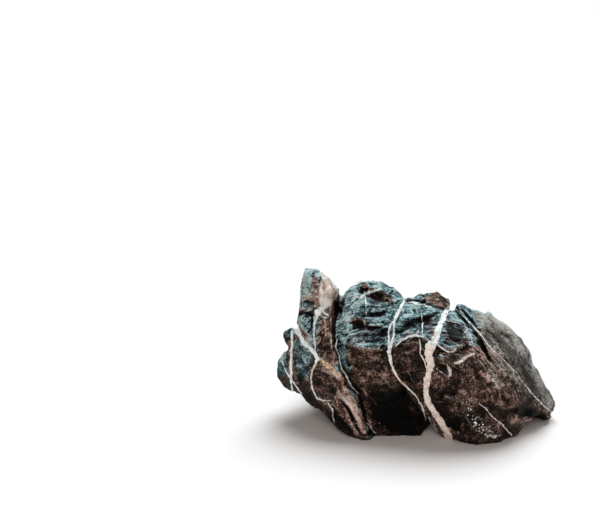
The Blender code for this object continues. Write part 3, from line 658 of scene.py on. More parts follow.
FORMS = (
    # The gashes side by side at the top of the right-hand mass, and the longer one below them.
    Gash(((32, 36, 2.4), (36, 31, 2.6), (39.5, 26.5, 1.6)), depth=2.4),
    Gash(((35, 37.5, 2), (40.5, 32, 2.2), (46, 25.5, 1.4)), depth=1.8),
    Gash(((42, 24, 1.6), (48, 17, 2.4)), depth=1.8),
    Gash(((50, 12.5, 1.8), (53.5, 6, 3), (57.5, -2.5, 1.8)), depth=2.4),
    # Behind the shoulder, round the knuckle, and from the recess down between the slab and the hump.
    Gash(((-5.5, 44.5, 1.6), (3, 43.5, 1.8), (11, 41, 1.8), (18.5, 38, 2), (24, 37.5, 1.6)), depth=1.4),
    Gash(((-93, 33, 1.6), (-87, 34, 2), (-82, 33.5, 2), (-80, 31, 1.6), (-81, 22, 1.4)), depth=1.5),
    Gash(((-59.5, 49, 3), (-61.5, 41, 4), (-62.5, 32, 3), (-64, 20, 2), (-63, 9, 1.8), (-60, 1, 1.8),
          (-58, -9, 1.8), (-53, -17, 1.8), (-49, -24, 2), (-44, -30, 3), (-42, -37, 3), (-39, -49, 3),
          (-34, -60, 2)), depth=2.0),
    # The splits in the left foot, and the notch between the two knobs at the far left.
    Gash(((-56, -36, 1.6), (-51, -43, 1.8), (-47, -50, 1.4)), depth=1.5),
    Gash(((-51, -46, 1.6), (-47, -53, 1.8), (-43, -60, 1.4)), depth=1.5),
    Gash(((-105.5, 13, 1.8), (-101, 13.5, 2), (-98.5, 15, 1.2)), depth=1.4),
    # The scoops of the finger's left face, one above the other.
    Lip(((-90, 64, 1.2), (-84, 66.5, 1.6), (-78, 65, 1)), reach=4.5),
    Lip(((-90, 57.5, 1.2), (-85, 60.5, 1.8), (-79, 59.5, 1)), reach=4.5),
    Lip(((-90, 42.5, 1.4), (-85, 45, 2), (-79, 43, 1.2)), reach=5.0),
    Lip(((-90, 36, 1.2), (-85.5, 38, 1.6), (-80.5, 36.5, 1)), reach=3.6),
    # The lips over the hollows of the crown.
    Lip(((-38, 48.5, 2), (-32, 52, 3.4), (-26, 52, 3.4), (-19, 48, 2)), reach=7.0),
    Lip(((-52, 28, 2.4), (-45, 29.5, 3.2), (-38, 28, 2.4)), reach=6.0),
    Lip(((-36, 35, 2), (-29, 36, 2.6), (-20, 36.5, 2)), reach=4.5),
    Lip(((-40, 24, 2), (-31, 24.5, 2.6), (-24, 26, 2)), reach=4.0),
    # The shoulder's lip and the rim below it.
    Lip(((-14, 25, 2.6), (-6, 29, 3.4), (4, 32.5, 3), (16, 33, 2)), reach=7.0),
    Lip(((-16, 9, 1.8), (-7, 15.5, 2.4), (4, 16, 2)), reach=5.0),
    # The scalloped edge of the rounded cap.
    Lip(((19, 6, 1.8), (25, 6.5, 2.2), (31, 5, 2.2), (36, 8, 2), (40, 12, 1.6)), reach=4.5),
)


class Skin:
    """A mesh's corners as arrays, in millimetres, with the directions that the skin faces there."""

    def __init__(self, mesh: Mesh) -> None:
        """Reads a mesh.

        Args:
            mesh: The mesh; it is also what store and move write to.
        """
        self.mesh = mesh
        self.places = self.read(mesh.vertices, "co", 3) / MM
        self.normals = self.read(mesh.vertex_normals, "vector", 3)
        self.edges = self.read(mesh.edges, "vertices", 2, np.int64)

    @staticmethod
    def read(rows: bpy.types.bpy_prop_collection, name: str, width: int, kind: type = np.float64) -> Array:
        """Reads one thing about each row of a mesh.

        Args:
            rows: The rows.
            name: What is read.
            width: How many numbers it has.
            kind: What kind of number they are.

        Returns:
            The numbers, a row of them for each row.
        """
        numbers = np.empty(len(rows) * width, dtype=kind)
        rows.foreach_get(name, numbers)
        return numbers.reshape(-1, width)

    def averaged(self, values: Array, rounds: int) -> Array:
        """Spreads values over the skin.

        Args:
            values: A value or a row of them for each corner.
            rounds: How often every corner's is replaced by the mean of it and its neighbours'.

        Returns:
            The spread values.
        """
        ends = np.concatenate((self.edges[:, 0], self.edges[:, 1]))
        others = np.concatenate((self.edges[:, 1], self.edges[:, 0]))
        count = np.bincount(ends, minlength=len(values)) + 1.0
        for _ in range(rounds):
            columns = np.atleast_2d(values.T)
            sums = [column + np.bincount(ends, column[others], len(column)) for column in columns]
            values = (np.array(sums) / count).T.reshape(values.shape)
        return values

    def hollow(self, rounds: int) -> Array:
        """Gives how far each corner lies below the skin round it; it is minus on a ridge."""
        around = self.averaged(self.places, rounds)
        return np.einsum("ij,ij->i", around - self.places, self.normals)

    def store(self, name: str, values: Array) -> None:
        """Keeps a value for each corner in the mesh, for the nodes to read."""
        attribute = self.mesh.attributes.get(name) or self.mesh.attributes.new(name, "FLOAT", "POINT")
        attribute.data.foreach_set("value", values.astype(np.float32))

    def move(self, places: Array) -> None:
        """Moves the corners."""
        self.mesh.vertices.foreach_set("co", (places * MM).ravel())
        self.mesh.update()


@dataclass(frozen=True)
class Carving:
    """The forms that are too fine for the solid, and where the bedding, the folds and the feet are.

    Args:
        voxel: How far apart the corners of the fine skin are.
        weld: How near corners of the solid's loose triangles have to be to be one.
        rounds: How many times the fine skin's steps are smoothed.
        hump: Where the middle of the hump's curved bedding is on the front sheet; its layers bend round it.
        shoulder: The same for the shoulder and all that is to the right of it.
        match: How much of the way between the two is added to the hump's layers, so that the sets meet.
        seam: From where to where across the sheet the one gives way to the other.
        ground: How far above the ground the skin is left as it is, and where it is wholly free.
        folded: Between which slopes the folds set in; 0 is upright, and 1 looks up.
        slope_rounds: How many times the slope is averaged for that.
        calm: How much of the folds the grey rock and the brown rock do without.
        push: How far a drawn line is pushed about.
        wave: How long the waves of that are.
        seed: Which of the possible wavers it is; it is never 0, which would mean the time of day.
    """

    voxel: float = 1.2
    weld: float = 0.001
    rounds: int = 2
    hump: Span = (-34.0, -18.0)
    shoulder: Span = (11.0, -49.0)
    match: float = 0.55
    seam: Span = (-22.0, -12.0)
    ground: Span = (1.6, 3.6)
    folded: Span = (-0.05, 0.5)
    slope_rounds: int = 6
    calm: Span = (0.8, 0.6)
    push: float = 0.5
    wave: float = 5.0
    seed: int = 7

    def fine_skin(self, node: Object) -> Mesh:
        """Covers a CAD node with a fine, even skin.

        Args:
            node: The node; it stays as it is.

        Returns:
            The skin's mesh.
        """
        bm = bmesh.new()
        bm.from_mesh(node.data)
        bmesh.ops.remove_doubles(bm, verts=bm.verts, dist=self.weld * MM)
        mesh = bpy.data.meshes.new("solid")
        bm.to_mesh(mesh)
        bm.free()
        obj = new_object("skin", mesh)
        remesh = obj.modifiers.new("even", "REMESH")
        remesh.mode = "VOXEL"
        remesh.voxel_size = self.voxel * MM
        smooth = obj.modifiers.new("soften", "SMOOTH")
        smooth.iterations = self.rounds
        return baked(obj)

    def drawn(self, skin: Skin) -> dict[Sheet, Array]:
        """Finds the corners' places on the sheets, pushed about a little so that drawn lines waver.

        Args:
            skin: The skin.

        Returns:
            For each sheet, the places across and up.
        """
        noise.seed_set(self.seed)
        waver = np.array([noise.noise_vector(Vector(place) / self.wave) for place in skin.places])
        return {sheet: sheet.place(skin.places) + self.push * waver[:, :2] for sheet in (FRONT, BACK)}

    def mark(self, skin: Skin) -> None:
        """Stores in the mesh how deep it is carved, its place in the bedding, and where the relief goes.

        Args:
            skin: The fine skin.
        """
        flats = self.drawn(skin)
        flat = flats[FRONT]
        depth = np.zeros(len(flat))
        for form in FORMS:
            depth = np.maximum(depth, form.taken(flat))
        skin.store("carved", depth * FRONT.facing(skin.places, skin.normals))
        skin.store("free", smooth_step(*self.ground, skin.places[:, 2]))
        hump, shoulder = (
            np.linalg.norm(flat - np.array(middle), axis=1) for middle in (self.hump, self.shoulder)
        )
        shift = math.dist(self.hump, self.shoulder) * self.match
        share = smooth_step(*self.seam, flat[:, 0])
        skin.store("bedding", (1.0 - share) * (hump + shift) + share * shoulder)
        folded = smooth_step(*self.folded, skin.averaged(skin.normals[:, 2], self.slope_rounds))
        for tint, calm in zip((Tint.GREY, Tint.BROWN), self.calm):
            folded = folded * (1.0 - calm * stained(skin, tint, flats))
        skin.store("folded", folded)


@dataclass(frozen=True)
class Relief:
    """How weather has worked the skin: a Geometry Nodes tree whose inputs are these sizes, in millimetres.

    Args:
        fold_spacing: How far apart the edges of the bedding's layers stand out.
        fold_length: How far one edge runs on.
        fold_depth: How far the softer layers are worn back under the edges.
        fold_sway: How far the edges stray from the layers, in layers.
        rope_spacing: How far apart the fine ropes along the layers are.
        rope_depth: How deep the creases between them are.
        bowl_width: How wide the thumb-sized bowls are.
        bowl_depth: How deep they are.
        dent_width: How wide the small dents are.
        dent_depth: How deep they are.
        grain_width: How wide the grain is.
        grain_depth: How deep it is.
        bulge: How far the skin is let out first, so that its ridges end up where the solid's skin is.
        seed: Which of the possible stones this is.
    """

    fold_spacing: float = 8.0
    fold_length: float = 30.0
    fold_depth: float = 2.2
    fold_sway: float = 5.0
    rope_spacing: float = 4.4
    rope_depth: float = 0.4
    bowl_width: float = 10.0
    bowl_depth: float = 1.0
    dent_width: float = 4.6
    dent_depth: float = 0.35
    grain_width: float = 2.4
    grain_depth: float = 0.25
    bulge: float = 0.7
    seed: float = 4.0

    def work(self, mesh: Mesh, material: bpy.types.Material) -> Mesh:
        """Gives a mesh this relief and a material.

        Args:
            mesh: The carved skin, with the values that the tree reads.
            material: The finish that the tree sets.

        Returns:
            The worn skin.
        """
        tree = Weathering([field.name for field in fields(self)], material).tree
        obj = new_object("worn", mesh)
        modifier = obj.modifiers.new("relief", "NODES")
        modifier.node_group = tree
        for socket in tree.interface.items_tree:
            if socket.in_out == "INPUT" and socket.name != "Geometry":
                modifier[socket.identifier] = getattr(self, socket.name)
        return baked(obj)


class Weathering(Nodes):
    """The Geometry Nodes tree that wears the skin back along its normals."""

    def __init__(self, names: list[str], material: bpy.types.Material) -> None:
        """Builds the tree.

        Args:
            names: The names of the sizes that it takes.
            material: The finish that it sets.
        """
        super().__init__(bpy.data.node_groups.new("weathered_relief", "GeometryNodeTree"))
        sockets = self.tree.interface
        sockets.new_socket("Geometry", in_out="INPUT", socket_type="NodeSocketGeometry")
        for name in names:
            sockets.new_socket(name, in_out="INPUT", socket_type="NodeSocketFloat")
        sockets.new_socket("Geometry", in_out="OUTPUT", socket_type="NodeSocketGeometry")
        self.sizes = self.add("NodeGroupInput").outputs
        self.bedding, folded, carved, free = (
            self.add("GeometryNodeInputNamedAttribute", {"Name": name}, data_type="FLOAT")
            for name in ("bedding", "folded", "carved", "free")
        )
        position = self.add("GeometryNodeInputPosition")
        self.place = self.add(VECTOR, {0: position, "Scale": 1.0 / MM}, operation="SCALE")
        self.shift = self.add("ShaderNodeCombineXYZ", {"X": self.sizes["seed"], "Y": self.sizes["seed"]})
        layers = self.add(MATH, {0: self.folds(), 1: self.ropes()}, operation="ADD")
        layered = self.sum(self.rough(), (layers, folded))
        taken = self.add(MATH, {0: layered, 1: carved}, operation="ADD")
        worn = self.add(MATH, {0: self.sizes["bulge"], 1: taken}, operation="SUBTRACT")
        height = self.add(MATH, {0: worn, 1: free}, operation="MULTIPLY")
        metres = self.add(MATH, {0: height, 1: MM}, operation="MULTIPLY")
        normal = self.add("GeometryNodeInputNormal")
        offset = self.add(VECTOR, {0: normal, "Scale": metres}, operation="SCALE")
        moved = self.add("GeometryNodeSetPosition", {"Geometry": self.sizes["Geometry"], "Offset": offset})
        real = self.add("GeometryNodeRealizeInstances", {"Geometry": moved})
        dressed = self.add("GeometryNodeSetMaterial", {"Geometry": real, "Material": material})
        self.add("NodeGroupOutput", {"Geometry": dressed})

    def folds(self) -> Node:
        """Adds the layers' edges: each stands out at its lower rim, and the layer below it is worn back.

        Returns:
            How deep they take the skin in.
        """
        seeded = self.seeded("fold_length")
        sway = self.add(NOISE, {"Vector": seeded, "Scale": 1.6, "Detail": 3.0, "Roughness": 0.55})
        layer = self.add(MATH, {0: self.bedding, 1: self.sizes["fold_spacing"]}, operation="DIVIDE")
        swayed = self.sum(layer, (sway, self.sizes["fold_sway"]))
        step = self.add(MATH, {0: swayed}, operation="FRACT")
        back = self.add(MATH, {0: step, 1: 1.6}, operation="POWER")
        strong = self.add(NOISE, {"Vector": seeded, "Scale": 3.1, "Detail": 1.0})
        share = self.add(RANGE, {"Value": strong, "From Min": 0.38, "From Max": 0.62},
                         interpolation_type="SMOOTHSTEP")
        worn = self.add(MATH, {0: back, 1: share}, operation="MULTIPLY")
        return self.add(MATH, {0: worn, 1: self.sizes["fold_depth"]}, operation="MULTIPLY")

    def ropes(self) -> Node:
        """Adds fine rounded ropes along the layers, with sharp creases between them.

        Returns:
            How deep the creases take the skin in.
        """
        long = self.add(VECTOR, {0: self.place, 1: self.sizes["fold_length"]}, operation="DIVIDE")
        rank = self.add(MATH, {0: self.bedding, 1: self.sizes["rope_spacing"]}, operation="DIVIDE")
        climb = self.add("ShaderNodeCombineXYZ", {"X": rank, "Z": rank})
        field = self.add(VECTOR, {0: long, 1: climb}, operation="ADD")
        seeded = self.add(VECTOR, {0: field, 1: self.shift}, operation="ADD")
        wave = self.add(NOISE, {"Vector": seeded, "Scale": 0.55, "Detail": 2.5, "Roughness": 0.5})
        centred = self.add(MATH, {0: wave, 1: 0.5}, operation="SUBTRACT")
        crest = self.add(MATH, {0: centred}, operation="ABSOLUTE")
        crease = self.add(RANGE, {"Value": crest, "From Max": 0.13, "To Min": 1.0, "To Max": 0.0})
        return self.add(MATH, {0: crease, 1: self.sizes["rope_depth"]}, operation="MULTIPLY")

    def rough(self) -> Node:
        """Adds what is on the whole skin: bowls with sharp rims, small dents, and grain.

        Returns:
            How deep they take the skin in.
        """
        depth: Node | float = 0.0
        for kind in ("bowl", "dent"):
            seeded = self.seeded(f"{kind}_width")
            wander = self.add(NOISE, {"Vector": seeded, "Scale": 1.3, "Detail": 2.0})
            bent = self.add(VECTOR, {0: wander.outputs["Color"], 1: seeded}, operation="ADD")
            cell = self.add("ShaderNodeTexVoronoi", {"Vector": bent, "Scale": 1.0}, feature="F1")
            bowl = self.add(RANGE, {"Value": cell, "From Max": 0.75, "To Min": 1.0, "To Max": 0.0},
                            interpolation_type="SMOOTHERSTEP")
            strong = self.add(NOISE, {"Vector": seeded, "Scale": 0.45, "Detail": 1.0})
            share = self.add(RANGE, {"Value": strong, "From Min": 0.3, "From Max": 0.65})
            worn = self.add(MATH, {0: bowl, 1: share}, operation="MULTIPLY")
            depth = self.sum(depth, (worn, self.sizes[f"{kind}_depth"]))
        grains = self.add(VECTOR, {0: self.place, 1: self.sizes["grain_width"]}, operation="DIVIDE")
        grain = self.add(NOISE, {"Vector": grains, "Scale": 1.0, "Detail": 3.0, "Roughness": 0.6})
        return self.sum(depth, (grain, self.sizes["grain_depth"]))

    def seeded(self, size: str) -> Node:
        """Gives the place on the skin in units of a size, moved by the seed."""
        cells = self.add(VECTOR, {0: self.place, 1: self.sizes[size]}, operation="DIVIDE")
        return self.add(VECTOR, {0: cells, 1: self.shift}, operation="ADD")


@dataclass(frozen=True)
class Veins:
    """Sheets of calcite, kept in the mesh as families of veins that stay clear of each other.

    A family holds, for each corner of the skin, how far it is from the nearest vein's middle, with a sign for
    its side, and half the vein's width there. Both run straight from corner to corner, so the vein's edge is
    sharp between them however coarse the skin is.

    Args:
        strokes: The veins.
        margin: How far past its edge a vein is kept.
        apart: How far two veins of a family stay from each other.
        far: How far from a vein's middle the distance is kept.
    """

    strokes: tuple[Stroke, ...] = VEINS
    margin: float = 1.6
    apart: float = 3.84
    far: float = 20.0

    def families(self) -> list[list[Stroke]]:
        """Sorts the veins so that no two of a family come close to each other.

        Returns:
            The families.
        """
        families: list[list[Stroke]] = []
        for stroke in self.strokes:
            home = next((f for f in families if all(self.clear(stroke, other) for other in f)), None)
            if home is None:
                families.append([stroke])
            else:
                home.append(stroke)
        return families

    def clear(self, one: Stroke, other: Stroke) -> bool:
        """Tells whether two veins stay clear of each other.

        Args:
            one: The one vein.
            other: The other.

        Returns:
            Whether they do.
        """
        gaps = []
        for first, second in ((one, other), (other, one)):
            points = np.array(first.path)
            off, half, _ = second.measure(points[:, :2])
            gaps.append((np.abs(off) - half - points[:, 2] / 2.0).min())
        return one.sheet == other.sheet and min(gaps) > self.apart

    def paint(self, skin: Skin, flats: dict[Sheet, Array]) -> None:
        """Stores the families in the mesh.

        Args:
            skin: The worn skin.
            flats: Where its corners are on each sheet.
        """
        for index, family in enumerate(self.families()):
            edge = np.full(len(skin.places), np.inf)
            off = np.full(len(skin.places), FAR)
            half = np.zeros(len(skin.places))
            for stroke in family:
                here, wide, along = stroke.measure(flats[stroke.sheet])
                wide = wide * stroke.sheet.narrowing(skin.places, skin.normals, along)
                closer = np.abs(here) - wide < edge
                edge[closer] = (np.abs(here) - wide)[closer]
                off[closer] = here[closer]
                half[closer] = wide[closer]
            skin.store(f"vein_{index}_off", np.clip(off, -self.far, self.far))
            skin.store(f"vein_{index}_half", np.where(edge < self.margin, half, -self.margin))


def stained(skin: Skin, tint: Tint, flats: dict[Sheet, Array]) -> Array:
    """Finds how much of a tint the skin has.

    Args:
        skin: The skin.
        tint: The tint.
        flats: Where the skin's corners are on each sheet.

    Returns:
        The amount at each corner, from 0 to 1.
    """
    amount = np.zeros(len(skin.places))
    for stroke in TINTS[tint]:
        off, half, _ = stroke.measure(flats[stroke.sheet])
        mark = stroke.strength * (1.0 - smooth_step(-stroke.fade, stroke.fade, np.abs(off) - half))
        amount = np.maximum(amount, mark * stroke.sheet.facing(skin.places, skin.normals))
    return np.minimum(amount, 1.0)


@dataclass(frozen=True)
class StainsAndShading:
    """Where the skin is stained, encrusted, weathered or hollow, and where light and shade are painted on it,
    kept in the mesh.

    Args:
        slopes: The two parts of how far the skin faces up: the share of each, and its rounds of averaging.
        near: How many rounds wide the small hollows are.
        wide: How many rounds wide the large hollows are.
        soft: How many times the large hollows are averaged.
    """

    slopes: tuple[tuple[float, int], ...] = ((0.35, 2), (0.65, 14))
    near: int = 4
    wide: int = 40
    soft: int = 3

    def paint(self, skin: Skin, flats: dict[Sheet, Array]) -> None:
        """Stores each tint, how far the skin faces up, and how hollow it is at two scales.

        Args:
            skin: The worn skin.
            flats: Where its corners are on each sheet.
        """
        for tint in TINTS:
            skin.store(tint.value, stained(skin, tint, flats))
        upward = skin.normals[:, 2]
        total = np.zeros(len(upward))
        for share, rounds in self.slopes:
            upward = skin.averaged(upward, rounds)
            total += share * upward
        skin.store("upward", total)
        skin.store("hollow", skin.hollow(self.near))
        skin.store("deep", skin.averaged(skin.hollow(self.wide), self.soft))


@dataclass(frozen=True)
class Limestone:
    """Seiryu limestone: dark, fine-grained and hackly, veined with calcite and weathered by water and air.

    Each kind of rock has a row of tones, from its pores and creases to its highest grains. Each random field
    says how wide its patches are in millimetres, how many finer sizes it has, and how strong they are.

    Args:
        bare: The broken faces; nearly black, and brown with iron and with painted warm light bounced up from
            below.
        rusty: The same where there is more iron.
        weathered: The faces that look up; bleached and blue-green, and paler and bluer with painted cool
            light from above.
        dusty: The same where the film is thin; a faintly purple grey.
        grey: The smoother, evenly bleached rock towards the tail.
        cream: The finger's right-hand face, soaked with calcite.
        ochre: The band where iron has weathered out.
        pink: The tan rock beside it.
        calcite: The veins, where they are clean.
        iron: The veins, where iron has stained them.
        cloud: The largest patches.
        mottle: The mottling.
        speck: The finest specks; real grains are finer, and this is as fine as shows.
        swell: Where the veins are wide and where they are thin.
        edge: How the veins' edges are ragged.
        streak_length: How long the streaks along the bedding are.
        streak_width: How wide they are.
        gap: How far apart the grains of calcite are.
        stray: How far a grain of calcite strays from its place.
        crack_width: How wide the hair cracks are, which calcite has filled.
        crack_shows: How much of the calcite's colour shows in them.
        joints: The sets of joints that they follow: across which direction, and how far apart.
        relief: Which share of each of the skin's own values raises the tone: painted light where the skin
            faces up and in the worn tint, and painted shade in the dark tint.
        shadow: How dark the dark tint, mostly painted shade, is at its darkest, as a share of the rock's
            colour.
        hollow_shade: How dark the painted shade in the deepest hollow is.
        roughness: From how smooth to how matt the rock is; the broken faces have a slight sheen.
    """

    bare: tuple[str, ...] = ("#000000", "#130f0b", "#4d3f33", "#a5998a")
    rusty: tuple[str, ...] = ("#020000", "#1c0f0d", "#5e4239", "#b3958a")
    weathered: tuple[str, ...] = ("#03090c", "#1a3741", "#4d7a83", "#b4d6d5")
    dusty: tuple[str, ...] = ("#040205", "#252025", "#68656a", "#cbcccb")
    grey: tuple[str, ...] = ("#262321", "#4e4a46", "#7d7972", "#b8b6af")
    cream: tuple[str, ...] = ("#3a241b", "#cfae97", "#fff5e6", "#fffaf0")
    ochre: tuple[str, ...] = ("#3a2c20", "#927554", "#c4a47c", "#ecdac2")
    pink: tuple[str, ...] = ("#2a1812", "#987264", "#d4ac9c", "#f8e4d8")
    calcite: tuple[str, ...] = ("#94a6a3", "#f0f6f4", "#ffffff")
    iron: tuple[str, ...] = ("#a8948a", "#f0dfd4", "#fffaf4")
    cloud: Patches = (16.0, 3.0, 0.6)
    mottle: Patches = (3.0, 5.0, 0.68)
    speck: Patches = (1.2, 2.0, 0.7)
    swell: Patches = (7.0, 2.0, 0.6)
    edge: Patches = (2.2, 4.0, 0.7)
    streak_length: float = 11.0
    streak_width: float = 1.2
    gap: float = 1.9
    stray: float = 2.0
    crack_width: float = 0.25
    crack_shows: float = 0.3
    joints: tuple[tuple[tuple[float, float, float], float], ...] = (
        ((0.82, 0.2, 0.54), 17.0), ((-0.3, 0.1, 0.95), 25.0), ((0.65, -0.25, -0.72), 21.0)
    )
    # Painted light where the skin faces up and in the worn tint; painted shade in the dark tint.
    relief: tuple[tuple[str, float], ...] = (("upward", 0.3), ("worn", 0.28), ("dark", -0.35))
    shadow: float = 0.08
    hollow_shade: float = 0.25
    roughness: Span = (0.46, 0.7)

    def material(self, families: int) -> bpy.types.Material:
        """Builds the material.

        Args:
            families: How many families of veins the mesh holds.

        Returns:
            The material.
        """
        material = bpy.data.materials.new(SLOT)
        material.use_nodes = True
        Rock(material.node_tree, self, families)
        return material


class Rock(Nodes):
    """The tree of the limestone's material."""

    def __init__(self, tree: bpy.types.NodeTree, finish: Limestone, families: int) -> None:
        """Builds the tree.

        Args:
            tree: The material's tree; it is cleared first.
            finish: The rock's sizes and tones.
            families: How many families of veins the mesh holds.
        """
        super().__init__(tree)
        tree.nodes.clear()
        self.finish = finish
        coordinates = self.add("ShaderNodeTexCoord").outputs["Object"]
        self.place = self.add(VECTOR, {0: coordinates, "Scale": 1.0 / MM}, operation="SCALE")
        names = ["upward", "hollow", "deep", "bedding"] + [tint.value for tint in Tint]
        names += [f"vein_{index}_{part}" for index in range(families) for part in ("off", "half")]
        self.value = {
            name: self.add("ShaderNodeAttribute", attribute_name=name).outputs["Fac"] for name in names
        }
        patches = (finish.cloud, finish.mottle, finish.speck, finish.swell, finish.edge)
        self.cloud, self.mottle, self.speck, self.swell, self.edge = (
            self.add(NOISE, {"Vector": self.place, "Scale": 1 / width, "Detail": detail, "Roughness": rough})
            for width, detail, rough in patches
        )
        self.streak = self.streaks()
        level = self.level()
        mask = self.calcite(families)
        smooth = self.add(RANGE, {"Value": mask, "To Min": 1.0, "To Max": 0.3})
        height = self.add(MATH, {0: level, 1: smooth}, operation="MULTIPLY")
        bump = self.add("ShaderNodeBump", {"Strength": 0.9, "Distance": MM, "Height": height})
        low, high = finish.roughness
        matt = self.add(RANGE, {"Value": self.mottle, "From Min": 0.3, "From Max": 0.7, "To Min": low,
                                "To Max": high})
        colour = self.veined(self.rock(self.tone(level)), mask)
        surface = self.add(
            "ShaderNodeBsdfPrincipled",
            {"Base Color": colour, "Roughness": matt, "Normal": bump, "IOR": 1.5, "Specular IOR Level": 0.1},
        )
        self.add("ShaderNodeOutputMaterial", {"Surface": surface})

    def streaks(self) -> Node:
        """Adds a random field that is drawn out along the bedding.

        Returns:
            Its node.
        """
        length, width = self.finish.streak_length, self.finish.streak_width
        long = self.add(VECTOR, {0: self.place, "Scale": 1.0 / length}, operation="SCALE")
        rank = self.add(MATH, {0: self.value["bedding"], 1: 1.0 / width}, operation="MULTIPLY")
        climb = self.add("ShaderNodeCombineXYZ", {"X": rank, "Z": rank})
        drawn = self.add(VECTOR, {0: long, 1: climb}, operation="ADD")
        return self.add(NOISE, {"Vector": drawn, "Scale": 0.7, "Detail": 3.0, "Roughness": 0.6})

    def level(self) -> Node:
        """Adds the fine height of the skin: mottling and specks, and streaks where it looks up.

        Returns:
            The node that gives it.
        """
        grain = self.sum(self.mottle, (self.speck, 2.2))
        upward, grey = self.value["upward"], self.value["grey"]
        banded = self.add(RANGE, {"Value": upward, "From Min": 0.1, "From Max": 0.5, "To Min": 0.4,
                                  "To Max": 2.3})
        even = self.add(RANGE, {"Value": grey, "To Min": 1.0, "To Max": 0.3})
        share = self.add(MATH, {0: banded, 1: even}, operation="MULTIPLY")
        centred = self.add(MATH, {0: self.streak, 1: 0.5}, operation="SUBTRACT")
        return self.sum(grain, (centred, share))

    def tone(self, level: Node) -> Node:
        """Adds how high in its row of tones the rock is, from 0 to 1.

        Args:
            level: The fine height of the skin.

        Returns:
            The node that gives it.
        """
        patch = self.add(MATH, {0: self.cloud, 1: 0.5}, operation="SUBTRACT")
        shares = ((self.value[name], share) for name, share in self.finish.relief)
        # Painted shade in the small hollows and painted light on the small ridges.
        raised = self.sum(level, (self.value["hollow"], -0.75), (patch, 1.8), *shares)
        return self.add(RANGE, {"Value": raised, "From Min": 1.18, "From Max": 2.22})

    def shades(self, level: Node, tones: tuple[str, ...]) -> Node:
        """Lays a row of tones over a level.

        Args:
            level: The level, from 0 to 1.
            tones: The tones, evenly apart.

        Returns:
            The node that gives the colour.
        """
        ramp = self.add("ShaderNodeValToRGB", {"Fac": level})
        stops = ramp.color_ramp.elements
        for index in range(1, len(tones) - 1):
            stops.new(index / (len(tones) - 1))
        for stop, tone in zip(stops, tones):
            stop.color = linear(tone)
        return ramp

    def ragged(self, amount: Socket) -> Node:
        """Gives a tint a ragged edge."""
        torn = self.sum(amount, (self.mottle, 1.6))
        return self.add(RANGE, {"Value": torn, "From Min": 1.15, "From Max": 1.45})

    def rock(self, tone: Node) -> Node:
        """Adds the rock's colours: bare or weathered, stained, cracked, with painted light where it faces up
        and painted shade that darkens its hollows and creases.

        Args:
            tone: How high in its row of tones the rock is.

        Returns:
            The node that gives the colour.
        """
        finish, value = self.finish, self.value
        patchy = self.sum(self.cloud, (self.mottle.outputs["Color"], 0.6))
        iron = self.add(RANGE, {"Value": patchy, "From Min": 0.62, "From Max": 0.98})
        bare = self.add(MIX, {"Factor": iron, "A": self.shades(tone, finish.bare),
                              "B": self.shades(tone, finish.rusty)}, data_type="RGBA")
        # The bleached film goes where the skin faces up: partly weathering, partly painted cool light from
        # above.
        drift = self.sum(value["upward"], (self.cloud, 0.6), (self.mottle, 0.5), (value["teal"], 0.7),
                         (value["brown"], -0.85))
        share = self.add(RANGE, {"Value": drift, "From Min": 0.75, "From Max": 1.1},
                         interpolation_type="SMOOTHSTEP")
        thick = self.sum(self.streak.outputs["Color"], (value["brown"], -0.2))
        film = self.add(RANGE, {"Value": thick, "From Min": 0.38, "From Max": 0.5})
        bleached = self.add(MIX, {"Factor": film, "A": self.shades(tone, finish.dusty),
                                  "B": self.shades(tone, finish.weathered)}, data_type="RGBA")
        colour = self.add(MIX, {"Factor": share, "A": bare, "B": bleached}, data_type="RGBA")
        for tint, tones in ((Tint.GREY, finish.grey), (Tint.CREAM, finish.cream), (Tint.PINK, finish.pink),
                            (Tint.OCHRE, finish.ochre)):
            colour = self.add(MIX, {"Factor": self.ragged(value[tint.value]), "A": colour,
                                    "B": self.shades(tone, tones)}, data_type="RGBA")
        colour = self.cracked(colour)
        # Painted shade, for the most part, where the dark tint lies.
        stain_and_shade = self.add(RANGE, {"Value": self.ragged(value["dark"]), "To Min": 1.0, "To Max": finish.shadow})
        # Painted shade in the deep hollows.
        hollow_shade = self.add(RANGE, {"Value": value["deep"], "From Min": 0.2, "From Max": 2.0, "To Min": 1.0,
                                 "To Max": finish.hollow_shade})
        shade = self.add(MATH, {0: stain_and_shade, 1: hollow_shade}, operation="MULTIPLY")
        return self.add(MIX, {"Factor": 1.0, "A": colour, "B": shade}, data_type="RGBA",
                        blend_type="MULTIPLY")

